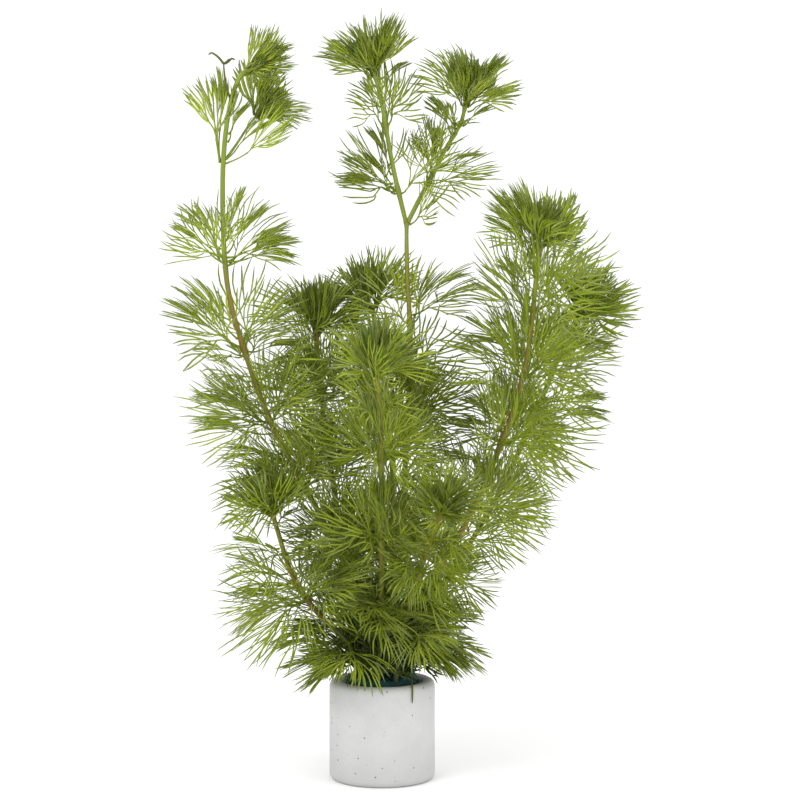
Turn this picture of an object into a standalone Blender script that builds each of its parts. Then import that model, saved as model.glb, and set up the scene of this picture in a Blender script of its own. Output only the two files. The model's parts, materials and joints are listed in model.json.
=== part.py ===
"""Cabomba, an aquarium plant: a bunch of nine cut stems held by foam in a small white ceramic pot.

Metres, +Z up. The origin is the centre of the pot's flat foot, and the plant is seen from -Y.
Each stem carries whorls of one to four fan-shaped leaves. The leaves of one whorl grow from one
ring-shaped node, which clasps the stem with a small gap. A leaf is a short stalk with a thin, cupped
fan cut into pointed rays. Leaves grow where there is room: a leaf that would run into the ones that
are already there leans, turns or stays smaller until it is clear of them.
"""

import itertools
import math
from dataclasses import dataclass

import bmesh
import bpy
from mathutils import Vector
from mathutils.bvhtree import BVHTree

MM = 0.001
GAP = 0.3 * MM
MERGE = 0.01 * MM

# The pot is a turned cup with a soft lip and a rounded foot.
POT_RADIUS = 13.0 * MM
POT_HEIGHT = 24.5 * MM
POT_WALL = 3.5 * MM
POT_FLOOR = 3.5 * MM
LIP_OUTER_ROUND = 1.6 * MM
LIP_INNER_ROUND = 1.4 * MM
FOOT_ROUND = 1.3 * MM
ROUND_STEPS = 2
POT_SIDES = 32

# The foam plug fills the cup and stands a little above its lip.
FOAM_RADIUS = POT_RADIUS - POT_WALL - GAP
FOAM_BOTTOM = POT_FLOOR + GAP
FOAM_TOP = POT_HEIGHT + 1.0 * MM
FOAM_EDGE_ROUND = 1.2 * MM
FOAM_SIDES = 16
HOLE_CLEARANCE = 0.6 * MM
HOLE_BOTTOM = 5.5 * MM
HOLE_SIDES = 6

# Stems are thin round tubes that thin out towards the growing tip.
STEM_FOOT_Z = 6.0
STEM_RADIUS = 0.75 * MM
SHOOT_RADIUS = 0.6 * MM
STEM_TIP_SHARE = 0.7
STEM_STEP = 16.0 * MM

# Leaves.
LEAF_THICKNESS = 0.4 * MM
COLLAR_WIDTH = 0.75 * MM
COLLAR_GAP = 0.4 * MM
STALK_WIDTH = 0.8 * MM
HUB_DEPTH = 0.7 * MM
FAN_CUP = 0.2
NOTCH_SHARE = 0.46
SIDE_RAY_SHARE = 0.86
RAYS = 4
CROWN_LEAVES = 4
COLLAR_SIDES = 6
CROWN_COLLAR_SIDES = 8
# Leaves turn their upper face towards the light, which comes from the front and above.
LIGHT_FROM = Vector((0.0, -0.85, 0.5))

# What a leaf tries, in this order, until it is clear of its neighbours.
TRY_SHARES = (1.0, 0.9, 0.8, 0.7, 0.6, 0.5, 0.42, 0.35)
TRY_TURNS = (0.0, -0.3, 0.2, -0.6)
TRY_RISES = (0, 12, -12, 24, -24, 36)
TRY_SWINGS = (0, 14, -14, 28, -28)

POT_ROUGHNESS = 0.75
FOAM_ROUGHNESS = 0.9
PLANT_ROUGHNESS = 0.5
POT_COLOUR = (0.76, 0.75, 0.72)
FOAM_COLOUR = (0.02, 0.14, 0.13)
STEM_COLOUR = (0.24, 0.24, 0.03)
LEAF_COLOUR = (0.10, 0.17, 0.02)


@dataclass
class Whorl:
    """One ring of leaves. Lengths and the height above the foot are in mm, and angles in degrees.

    A turn of 0 keeps a fan's upper face towards the growing tip, and 1 turns it to the light. The spread
    is the angle between a fan's outermost rays. The climb is how much steeper each leaf rises than the
    one before it, where a whorl leans to one side.
    """

    height: float
    leaves: int
    azimuth: float
    fan: float = 15.0
    stalk: float = 4.5
    rise: float = 44.0
    turn: float = 0.8
    spread: float = 122.0
    climb: float = 0.0


@dataclass
class Stem:
    """One stem or branch. Its route is in mm, from the foot to the tip, and its top whorl is the crown."""

    name: str
    radius: float
    route: tuple
    whorls: tuple


def planted(x, y, *rest):
    """A route that stands upright in the foam at (x, y) before it leans."""
    return ((x, y, STEM_FOOT_Z), (x, y, 27.0)) + rest


# Azimuth 0 is to the right of the picture, 180 to the left, and 270 to the front.
STEMS = (
    Stem(
        "left_tall",
        STEM_RADIUS,
        planted(-3, 0, (-6, -1, 46), (-12, -1, 60), (-22, 0, 77), (-29, 2, 91), (-33, 3, 103), (-37, 4, 115),
                (-38.6, 4, 125), (-39, 4, 138), (-39, 4, 150), (-38, 3, 160), (-36.6, 2, 167),
                (-35, 1.4, 170.8), (-34, 1, 172.6), (-31, 0, 174)),
        (
            Whorl(173.2, 4, 0, fan=12, stalk=2, rise=68, spread=64),
            Whorl(151, 2, 165, fan=14.5, stalk=7.5, rise=82, turn=0.8, spread=58, climb=-48),
            Whorl(126.5, 3, 18, fan=16.5, stalk=2.5, rise=46, spread=104),
            Whorl(106, 3, 175, fan=16, stalk=4.5, rise=52),
            Whorl(88, 3, 188, fan=17, stalk=5, rise=14),
            Whorl(72, 3, 178, fan=15.5, stalk=5.5, rise=22),
            Whorl(57, 2, 205, fan=15, stalk=4, rise=16),
        ),
    ),
    Stem(
        "left_tall_side_shoot",
        SHOOT_RADIUS,
        ((-37.0, 4.9, 152.5), (-34.6, 5.6, 157), (-32.4, 6, 161), (-28.6, 7, 165)),
        (Whorl(162.5, 4, 0, fan=11.5, stalk=2.5, rise=50, spread=80),),
    ),
    Stem(
        "centre_tall",
        STEM_RADIUS,
        planted(3, 2, (4, 2, 46), (5, 2, 63), (6, 2, 83), (7, 2, 100), (7, 2, 111), (6, 2, 125), (6, 2, 137)),
        (
            Whorl(136, 1, 350, fan=9, stalk=4.5, rise=40),
            Whorl(112, 2, 8, fan=14.5, stalk=2.5, rise=56, spread=110),
            Whorl(88, 2, 340, fan=14),
        ),
    ),
    Stem(
        "centre_tall_left_branch",
        SHOOT_RADIUS,
        ((4.6, 1.8, 138.4), (4, 1, 144), (2, 0, 153), (1, -1, 160), (0, -1, 165), (-1, -1, 170),
         (-3, -1, 176)),
        (
            Whorl(172, 4, 185, fan=13.5, stalk=2, rise=42, spread=110, climb=12),
            Whorl(160, 3, 195, fan=10.5, stalk=4.5, rise=56),
            Whorl(143.5, 2, 183, fan=16, stalk=2, rise=40, spread=112),
        ),
    ),
    Stem(
        "centre_tall_right_branch",
        SHOOT_RADIUS,
        ((7.4, 2.4, 138.4), (10, 4, 144), (13, 5, 149), (14.5, 5, 153), (17.8, 5, 158), (20, 4.6, 162),
         (20.4, 4, 167)),
        (
            Whorl(165, 4, 355, fan=14, stalk=2.5, rise=36, spread=88, climb=6),
            Whorl(146.5, 3, 352, fan=14, stalk=2.5, rise=36, spread=104),
        ),
    ),
    Stem(
        "right_main",
        STEM_RADIUS,
        planted(5, -2, (9, -3, 44), (15, -4, 54), (23, -5, 68), (29, -5, 83), (34, -4, 97), (36, -3, 108),
                (37, -2, 118), (37.6, -2, 126), (38.4, -2, 134)),
        (
            Whorl(130.5, 4, 185, fan=15, stalk=2, rise=40, spread=104, climb=6),
            Whorl(115, 3, 182, fan=17, stalk=5, rise=34, climb=8),
            Whorl(99, 3, 190, fan=16, rise=28, climb=8),
            Whorl(83, 3, 195, fan=16, rise=26, climb=8),
            Whorl(67, 2, 190, fan=15, rise=34),
            Whorl(51, 3, 345, fan=11.5, stalk=4.5, rise=22),
            Whorl(34.5, 3, 350, fan=13.5, stalk=5.5, rise=-6),
        ),
    ),
    Stem(
        "far_right",
        STEM_RADIUS,
        planted(6, 4.5, (12, 8, 43), (22, 11, 56), (31, 13, 72), (39, 14, 90), (44, 14, 103), (47, 14, 110),
                (50, 13, 115)),
        (
            Whorl(113, 4, 0, fan=13, stalk=2.5, rise=38, spread=112),
            Whorl(100, 3, 0, fan=13.5, stalk=2.5, rise=34),
            Whorl(84, 3, 352, fan=14.5, stalk=4.5, rise=22, climb=8),
            Whorl(66, 3, 0, fan=13, stalk=4.5, rise=34),
            Whorl(48, 3, 350, fan=11.5, stalk=4, rise=30),
        ),
    ),
    Stem(
        "low_left",
        STEM_RADIUS,
        planted(-5, -4, (-8, -7, 35), (-13, -9, 39.5), (-17, -10, 44), (-21, -10, 50), (-23, -10, 55),
                (-25, -9, 62), (-27, -8, 68)),
        (
            Whorl(66, 4, 190, fan=12, stalk=2.5, rise=40),
            Whorl(46, 4, 195, fan=16.5, stalk=5, rise=4),
            Whorl(35, 2, 195, fan=14, stalk=5, rise=-6),
        ),
    ),
    Stem(
        "front_rosette",
        STEM_RADIUS,
        planted(3, -6, (6, -13, 44), (10, -18, 56), (13, -22, 66), (15, -27, 71)),
        (
            Whorl(68.5, 4, 45, fan=10, stalk=2.5, rise=30),
            Whorl(54, 3, 290, fan=11, stalk=4, rise=18),
            Whorl(38, 2, 330, fan=11, stalk=4, rise=8),
        ),
    ),
    Stem(
        "mid_left",
        STEM_RADIUS,
        planted(-4.5, 3.5, (-8, 9, 45), (-11, 13, 62), (-14, 15, 82), (-16, 15, 98), (-16.5, 14, 111)),
        (
            Whorl(109, 4, 170, fan=13.5, stalk=3, rise=34),
            Whorl(92, 3, 190, fan=15),
            Whorl(73, 3, 175, fan=15),
            Whorl(51, 2, 190, fan=15),
        ),
    ),
    Stem(
        "back_centre",
        STEM_RADIUS,
        planted(0, 6.5, (2, 13, 45), (3, 17, 64), (2, 19, 84), (0, 20, 102), (-3, 19, 117)),
        (
            Whorl(115, 4, 20, fan=13.5, stalk=3, rise=34),
            Whorl(95, 2, 10, fan=15),
            Whorl(77, 2, 350, fan=15),
            Whorl(54, 2, 20, fan=15),
        ),
    ),
    Stem(
        "front_centre",
        STEM_RADIUS,
        planted(-1, -6, (0, -12, 48), (0, -16, 66), (0, -18, 85), (-1, -18, 101)),
        (
            Whorl(100, 4, 190, fan=13, stalk=3, rise=38),
            Whorl(80, 3, 180, fan=14),
            Whorl(61, 2, 190, fan=14),
            Whorl(43, 3, 230, fan=13, rise=22),
        ),
    ),
)


def clear_scene():
    for thing in list(bpy.data.objects):
        bpy.data.objects.remove(thing, do_unlink=True)


def new_collection(name):
    collection = bpy.data.collections.new(name)
    bpy.context.scene.collection.children.link(collection)
    return collection


def new_material(name, colour, roughness):
    material = bpy.data.materials.new(name)
    material.use_nodes = True
    shader = material.node_tree.nodes["Principled BSDF"]
    shader.inputs["Base Color"].default_value = (*colour, 1.0)
    shader.inputs["Roughness"].default_value = roughness
    shader.inputs["Metallic"].default_value = 0.0
    return material


def new_object(name, data, material, collection):
    thing = bpy.data.objects.new(name, data)
    thing.data.materials.append(material)
    collection.objects.link(thing)
    return thing


# Curves and arcs

def arc(centre, radius, start, end):
    """Points (radius from the axis, height) of a quarter round, its ends included."""
    points = []
    for step in range(ROUND_STEPS + 1):
        angle = math.radians(start + (end - start) * step / ROUND_STEPS)
        points.append((centre[0] + radius * math.cos(angle), centre[1] + radius * math.sin(angle)))
    return points


def smooth_point(before, start, end, after, share):
    """A point on the Catmull-Rom curve between start and end."""
    return 0.5 * (
        2 * start
        + (end - before) * share
        + (2 * before - 5 * start + 4 * end - after) * share**2
        + (3 * start - before - 3 * end + after) * share**3
    )


def smooth_route(route):
    """The route in metres, as points about one step apart on a smooth curve through all of its points."""
    corners = [Vector(point) * MM for point in route]
    padded = [2 * corners[0] - corners[1]] + corners + [2 * corners[-1] - corners[-2]]
    points = []
    for before, start, end, after in zip(padded, padded[1:], padded[2:], padded[3:]):
        steps = max(1, round((end - start).length / STEM_STEP))
        points += [smooth_point(before, start, end, after, step / steps) for step in range(steps)]
    return points + [corners[-1]]


def point_at_height(points, height):
    """Where the stem passes this height, and its direction there."""
    for start, end in zip(points, points[1:]):
        if start.z <= height <= end.z:
            share = (height - start.z) / (end.z - start.z)
            return start.lerp(end, share), (end - start).normalized()
    raise ValueError(f"no point of the stem is at {height}")


# Pot and foam

def pot_profile():
    """From the middle of the floor up the inside, over the lip, down the outside and in to the middle."""
    inside = POT_RADIUS - POT_WALL
    points = [(0.0, POT_FLOOR), (inside, POT_FLOOR)]
    points += arc((inside + LIP_INNER_ROUND, POT_HEIGHT - LIP_INNER_ROUND), LIP_INNER_ROUND, 180, 90)
    points += arc((POT_RADIUS - LIP_OUTER_ROUND, POT_HEIGHT - LIP_OUTER_ROUND), LIP_OUTER_ROUND, 90, 0)
    points += arc((POT_RADIUS - FOOT_ROUND, FOOT_ROUND), FOOT_ROUND, 0, -90)
    points.append((0.0, 0.0))
    return points


def foam_profile():
    rim = FOAM_RADIUS - FOAM_EDGE_ROUND
    points = [(0.0, FOAM_TOP)]
    points += arc((rim, FOAM_TOP - FOAM_EDGE_ROUND), FOAM_EDGE_ROUND, 90, 0)
    points += [(FOAM_RADIUS, FOAM_BOTTOM), (0.0, FOAM_BOTTOM)]
    return points


def turned(name, profile, sides, material, collection):
    """A solid of revolution about Z."""
    mesh = bpy.data.meshes.new(name)
    edges = [(index, index + 1) for index in range(len(profile) - 1)]
    mesh.from_pydata([(radius, 0.0, height) for radius, height in profile], edges, [])
    thing = new_object(name, mesh, material, collection)
    screw = thing.modifiers.new("Turn", "SCREW")
    screw.steps = sides
    screw.render_steps = sides
    screw.use_merge_vertices = True
    screw.merge_threshold = MERGE
    screw.use_smooth_shade = True
    return thing


def make_pot(collection):
    material = new_material("white_ceramic", POT_COLOUR, POT_ROUGHNESS)
    return turned("pot", pot_profile(), POT_SIDES, material, collection)


def make_foam(collection, cutters):
    """The plug has a blind hole for each stem that is planted in it."""
    material = new_material("foam", FOAM_COLOUR, FOAM_ROUGHNESS)
    foam = turned("foam", foam_profile(), FOAM_SIDES, material, collection)
    planted_stems = [stem for stem in STEMS if stem.route[0][2] == STEM_FOOT_Z]
    holes = bmesh.new()
    for stem in planted_stems:
        depth = FOAM_TOP + GAP - HOLE_BOTTOM
        made = bmesh.ops.create_cone(
            holes,
            cap_ends=True,
            segments=HOLE_SIDES,
            radius1=stem.radius + HOLE_CLEARANCE,
            radius2=stem.radius + HOLE_CLEARANCE,
            depth=depth,
        )
        x, y, _ = stem.route[0]
        middle = Vector((x * MM, y * MM, HOLE_BOTTOM + depth / 2))
        bmesh.ops.translate(holes, verts=made["verts"], vec=middle)
    mesh = bpy.data.meshes.new("stem_holes")
    holes.to_mesh(mesh)
    holes.free()
    cutter = bpy.data.objects.new("stem_holes", mesh)
    cutter.hide_render = True
    cutter.display_type = "WIRE"
    cutters.objects.link(cutter)
    cut = foam.modifiers.new("Stem holes", "BOOLEAN")
    cut.operation = "DIFFERENCE"
    cut.object = cutter
    return foam


# Stems

def make_stem(stem, material, collection):
    points = smooth_route(stem.route)
    curve = bpy.data.curves.new(f"stem_{stem.name}", "CURVE")
    curve.dimensions = "3D"
    curve.bevel_depth = stem.radius
    curve.bevel_resolution = 1
    curve.use_fill_caps = True
    spline = curve.splines.new("POLY")
    spline.points.add(len(points) - 1)
    for index, (slot, point) in enumerate(zip(spline.points, points)):
        slot.co = (*point, 1.0)
        slot.radius = 1.0 - (1.0 - STEM_TIP_SHARE) * index / (len(points) - 1)
    return new_object(f"stem_{stem.name}", curve, material, collection)


# Leaves

def thick_tree(points, faces, thickness):
    """A search tree of the closed slab that this surface makes at the given thickness."""
    normals = [Vector() for _ in points]
    edges = {}
    for face in faces:
        normal = (points[face[1]] - points[face[0]]).cross(points[face[2]] - points[face[0]]).normalized()
        for start, end in zip(face, face[1:] + face[:1]):
            normals[start] += normal
            if (end, start) in edges:
                del edges[(end, start)]
            else:
                edges[(start, end)] = True
    count = len(points)
    half = thickness / 2
    upper = [point + normal.normalized() * half for point, normal in zip(points, normals)]
    lower = [point - normal.normalized() * half for point, normal in zip(points, normals)]
    slab = list(faces) + [tuple(index + count for index in reversed(face)) for face in faces]
    slab += [(end, start, start + count, end + count) for start, end in edges]
    return BVHTree.FromPolygons(upper + lower, slab)


def object_tree(thing, graph):
    """A search tree of the object as it stands."""
    evaluated = thing.evaluated_get(graph)
    mesh = evaluated.to_mesh()
    points = [thing.matrix_world @ vertex.co for vertex in mesh.vertices]
    faces = [tuple(polygon.vertices) for polygon in mesh.polygons]
    evaluated.to_mesh_clear()
    return BVHTree.FromPolygons(points, faces)


class Collar:
    """The ring-shaped node on a stem that one whorl's leaves grow from."""

    def __init__(self, stem, whorl):
        middle, self.axis = point_at_height(smooth_route(stem.route), whorl.height * MM)
        self.middle = middle
        self.sides = CROWN_COLLAR_SIDES if whorl.leaves == CROWN_LEAVES else COLLAR_SIDES
        self.inner = (stem.radius + COLLAR_GAP) / math.cos(math.pi / self.sides)
        self.outer = self.inner + COLLAR_WIDTH
        azimuth = math.radians(whorl.azimuth)
        facing = Vector((math.cos(azimuth), math.sin(azimuth), 0.0))
        self.across = (facing - self.axis * facing.dot(self.axis)).normalized()
        self.beside = self.axis.cross(self.across)
        self.tree = thick_tree(*self.surface(), LEAF_THICKNESS + GAP)

    def radial(self, turn):
        """The direction out of the stem at this angle from the first leaf."""
        return self.across * math.cos(turn) + self.beside * math.sin(turn)

    def surface(self):
        points = []
        for side in range(self.sides):
            outwards = self.radial((side - 0.5) * 2 * math.pi / self.sides)
            points += [self.middle + outwards * self.inner, self.middle + outwards * self.outer]
        faces = []
        for side in range(self.sides):
            here = 2 * side
            after = 2 * ((side + 1) % self.sides)
            faces.append((here, here + 1, after + 1, after))
        return points, faces

    def leaf_edge(self, leaf, leaves):
        """The numbers of the two outer points that a leaf's stalk grows from, left one first."""
        side = round(leaf * self.sides / leaves)
        return 2 * ((side + 1) % self.sides) + 1, 2 * side + 1


def leaf_surface(collar, whorl, leaf, share, turn, rise, swing):
    """Points and faces of a leaf. The first two points are those of the collar that the stalk grows from."""
    ring = collar.surface()[0]
    left, right = collar.leaf_edge(leaf, whorl.leaves)
    base = (ring[left] + ring[right]) / 2
    angle = 2 * math.pi * leaf / whorl.leaves + math.radians(swing)
    lift = math.radians(whorl.rise + whorl.climb * leaf + rise)
    along = collar.radial(angle) * math.cos(lift) + collar.axis * math.sin(lift)
    upright = collar.axis * math.cos(lift) - collar.radial(angle) * math.sin(lift)
    lit = LIGHT_FROM - along * LIGHT_FROM.dot(along)
    upper = upright.lerp(lit.normalized(), whorl.turn + turn).normalized()
    side = upper.cross(along).normalized()
    hub = base + along * whorl.stalk * share * MM
    points = [ring[left], ring[right], hub - side * STALK_WIDTH / 2, hub + side * STALK_WIDTH / 2]
    centre = hub + along * HUB_DEPTH
    points.append(centre)
    faces = [(0, 1, 2, 3), (3, 2, 4)]
    fan = whorl.fan * share * MM
    spread = math.radians(whorl.spread)
    last_notch = 2
    for ray in range(RAYS):
        tip_angle = spread * (ray / (RAYS - 1) - 0.5)
        shorter = SIDE_RAY_SHARE + (1 - SIDE_RAY_SHARE) * math.cos(tip_angle) ** 2
        tip = in_fan(centre, along, side, upper, fan * shorter, fan, tip_angle)
        points.append(tip)
        tip_index = len(points) - 1
        faces.append((4, last_notch, tip_index))
        if ray < RAYS - 1:
            notch_angle = spread * ((ray + 0.5) / (RAYS - 1) - 0.5)
            points.append(in_fan(centre, along, side, upper, fan * NOTCH_SHARE, fan, notch_angle))
            last_notch = len(points) - 1
        else:
            last_notch = 3
        faces.append((4, tip_index, last_notch))
    return points, faces


def in_fan(centre, along, side, upper, length, fan, angle):
    """A point of the cupped fan: the further out, the more it bends to the upper face."""
    out = along * math.cos(angle) + side * math.sin(angle)
    return centre + out * length + upper * FAN_CUP * length**2 / fan


class Neighbours:
    """Everything that a new leaf has to stay clear of."""

    def __init__(self):
        self.always = []
        self.near = []

    def add(self, tree, centre=None, reach=0.0):
        if centre is None:
            self.always.append(tree)
        else:
            self.near.append((tree, centre, reach))

    def clear(self, tree, centre, reach, own):
        """Whether a leaf is clear of everything but its own collar."""
        if any(tree.overlap(other) for other in self.always):
            return False
        return not any(
            tree.overlap(other)
            for other, middle, radius in self.near
            if other is not own and (middle - centre).length < reach + radius
        )


def fitted_leaf(collar, whorl, leaf, neighbours):
    """The first of the sizes, turns and leanings to try that is clear of all neighbours, or nothing."""
    tries = itertools.product(TRY_SHARES, TRY_TURNS, TRY_RISES, TRY_SWINGS)
    for share, turn, rise, swing in tries:
        points, faces = leaf_surface(collar, whorl, leaf, share, turn, rise, swing)
        free = points[2:]
        tree = thick_tree(points, faces, LEAF_THICKNESS + GAP)
        centre = sum(free, Vector()) / len(free)
        reach = max((point - centre).length for point in free)
        if neighbours.clear(tree, centre, reach, collar.tree):
            neighbours.add(tree, centre, reach)
            return points, faces
    return None


def whorl_name(stem, whorl):
    """Whorls are counted from the foot up. The top one is the crown where the stem ends in it."""
    order = sorted(stem.whorls, key=lambda each: each.height)
    if whorl is order[-1] and whorl.leaves == CROWN_LEAVES:
        return f"crown_{stem.name}"
    return f"leaves_{stem.name}_{order.index(whorl) + 1}"


def make_whorl(stem, whorl, collar, neighbours, material, collection):
    """The collar and its leaves as one thin sheet, then thickened."""
    points, faces = collar.surface()
    for leaf in range(whorl.leaves):
        fitted = fitted_leaf(collar, whorl, leaf, neighbours)
        if fitted is None:
            continue
        leaf_points, leaf_faces = fitted
        shift = len(points) - 2
        ends = dict(enumerate(collar.leaf_edge(leaf, whorl.leaves)))
        points += leaf_points[2:]
        faces += [tuple(ends.get(index, index + shift) for index in face) for face in leaf_faces]
    mesh = bpy.data.meshes.new(whorl_name(stem, whorl))
    mesh.from_pydata(points, [], faces)
    thing = new_object(mesh.name, mesh, material, collection)
    thicken = thing.modifiers.new("Thickness", "SOLIDIFY")
    thicken.thickness = LEAF_THICKNESS
    thicken.offset = 0.0
    return thing


def main():
    clear_scene()
    collection = new_collection("cabomba")
    cutters = new_collection("cutters")
    stem_material = new_material("stem", STEM_COLOUR, PLANT_ROUGHNESS)
    leaf_material = new_material("leaf", LEAF_COLOUR, PLANT_ROUGHNESS)
    solids = [make_pot(collection), make_foam(collection, cutters)]
    solids += [make_stem(stem, stem_material, collection) for stem in STEMS]
    bpy.context.view_layer.update()
    graph = bpy.context.evaluated_depsgraph_get()
    neighbours = Neighbours()
    for solid in solids:
        neighbours.add(object_tree(solid, graph))
    whorls = [(stem, whorl, Collar(stem, whorl)) for stem in STEMS for whorl in stem.whorls]
    for _, _, collar in whorls:
        neighbours.add(collar.tree, collar.middle, collar.outer)
    for stem, whorl, collar in whorls:
        make_whorl(stem, whorl, collar, neighbours, leaf_material, collection)


main()
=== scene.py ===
# %% [markdown]
# # A bunch of cabomba in a white cup
# Cabomba is an aquarium plant. Its leaves sit in whorls round thin stems, and each leaf is a fan that
# forks again and again into some thirty soft threads. This lesson dresses a plain CAD model of the
# bunch. The CAD solids say where every stem, whorl and leaf is. The cells below read those places and
# grow the threads there.

# %% Load the CAD frame
import json
import math

import bmesh
import bpy
import numpy as np
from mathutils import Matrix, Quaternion, Vector

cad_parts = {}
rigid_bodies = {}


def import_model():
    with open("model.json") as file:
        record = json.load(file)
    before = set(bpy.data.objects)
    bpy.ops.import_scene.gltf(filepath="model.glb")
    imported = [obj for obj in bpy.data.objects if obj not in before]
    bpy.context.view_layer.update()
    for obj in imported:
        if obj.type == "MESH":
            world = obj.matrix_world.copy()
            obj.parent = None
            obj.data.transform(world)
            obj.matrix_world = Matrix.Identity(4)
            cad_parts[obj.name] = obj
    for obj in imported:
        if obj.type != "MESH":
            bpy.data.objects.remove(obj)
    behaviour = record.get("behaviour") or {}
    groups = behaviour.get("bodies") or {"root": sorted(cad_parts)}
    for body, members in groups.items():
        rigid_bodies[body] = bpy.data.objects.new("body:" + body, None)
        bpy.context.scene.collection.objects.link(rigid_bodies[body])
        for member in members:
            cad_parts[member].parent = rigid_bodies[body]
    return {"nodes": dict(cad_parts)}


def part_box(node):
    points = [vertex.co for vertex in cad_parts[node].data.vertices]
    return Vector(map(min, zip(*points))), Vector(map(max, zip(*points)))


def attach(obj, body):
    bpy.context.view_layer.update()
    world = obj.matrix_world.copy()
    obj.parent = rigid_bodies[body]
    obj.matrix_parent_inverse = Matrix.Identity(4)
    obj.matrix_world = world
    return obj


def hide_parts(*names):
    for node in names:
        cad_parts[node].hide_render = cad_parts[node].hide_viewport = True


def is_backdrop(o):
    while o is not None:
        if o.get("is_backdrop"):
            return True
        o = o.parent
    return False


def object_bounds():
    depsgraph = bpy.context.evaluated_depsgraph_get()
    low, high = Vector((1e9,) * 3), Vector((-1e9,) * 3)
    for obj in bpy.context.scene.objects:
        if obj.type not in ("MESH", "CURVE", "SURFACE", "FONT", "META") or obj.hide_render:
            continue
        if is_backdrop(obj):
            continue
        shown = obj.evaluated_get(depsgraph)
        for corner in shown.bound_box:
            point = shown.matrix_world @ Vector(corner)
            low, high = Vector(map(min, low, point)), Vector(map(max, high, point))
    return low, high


MM = 0.001
for leftover in list(bpy.data.objects):
    bpy.data.objects.remove(leftover)
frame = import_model()
cad_low, cad_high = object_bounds()
stem_nodes = sorted(name for name in frame["nodes"] if name.startswith("stem_"))
whorl_nodes = sorted(name for name in frame["nodes"] if name.startswith(("leaves_", "crown_")))
print("frame:", len(stem_nodes), "stems,", len(whorl_nodes), "whorls of leaves")

# %% [markdown]
# ## Camera
# The picture was taken with a long lens from a little above the middle of the plant, so verticals stay
# nearly upright. A 105 mm lens on a 36 mm sensor, 570 mm away and looking 4 degrees down, puts the cup's
# mouth and foot on the same curves as in the picture.

# %% Camera
CAMERA_TARGET = Vector((4.4, 0.0, 93.3)) * MM
CAMERA_DISTANCE = 570 * MM
CAMERA_DOWN = math.radians(4)
camera_data = bpy.data.cameras.new("camera")
camera_data.lens = 105
camera_data.sensor_width = 36
camera_data.clip_start = 0.02
camera_data.clip_end = 20
camera = bpy.data.objects.new("camera", camera_data)
bpy.context.scene.collection.objects.link(camera)
bpy.context.scene.camera = camera
camera_back = Vector((0, -math.cos(CAMERA_DOWN), math.sin(CAMERA_DOWN)))
camera.location = CAMERA_TARGET + CAMERA_DISTANCE * camera_back
camera.rotation_euler = (-camera_back).to_track_quat("-Z", "Y").to_euler()
print("camera stands", round(camera.location.y, 3), "m in front of the plant")

# %% [markdown]
# ## Helpers for node trees
# Materials and Geometry Nodes are both trees of nodes. Building them by hand in a script takes four
# lines for each node: add it, set it up, feed its inputs, take its output. The class Wiring does all
# four at once. What it gives back is a Value, and adding or multiplying two of those adds the Math node
# that does it, so that a tree can be read like a sum. The decorator node_group turns a function into a
# node group: what the function takes and returns are the group's sockets.


# %% Helpers for node trees
class Value:
    """What a node gives out, to reckon with like a number or a vector."""

    def __init__(self, wires, socket):
        self.wires = wires
        self.socket = socket

    def work(self, operation, one, other):
        vector = self.socket.type == "VECTOR"
        return (self.wires.vector if vector else self.wires.math)(operation, one, other)

    def __add__(self, other):
        return self.work("ADD", self, other)

    def __sub__(self, other):
        return self.work("SUBTRACT", self, other)

    def __rsub__(self, other):
        return self.work("SUBTRACT", other, self)

    def __mul__(self, other):
        if self.socket.type == "VECTOR":
            feeds = {"Vector": self, "Scale": other}
            return self.wires.out("ShaderNodeVectorMath", feeds, operation="SCALE")
        return self.work("MULTIPLY", self, other)

    def __truediv__(self, other):
        return self.work("DIVIDE", self, other)

    __radd__ = __add__
    __rmul__ = __mul__


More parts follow.
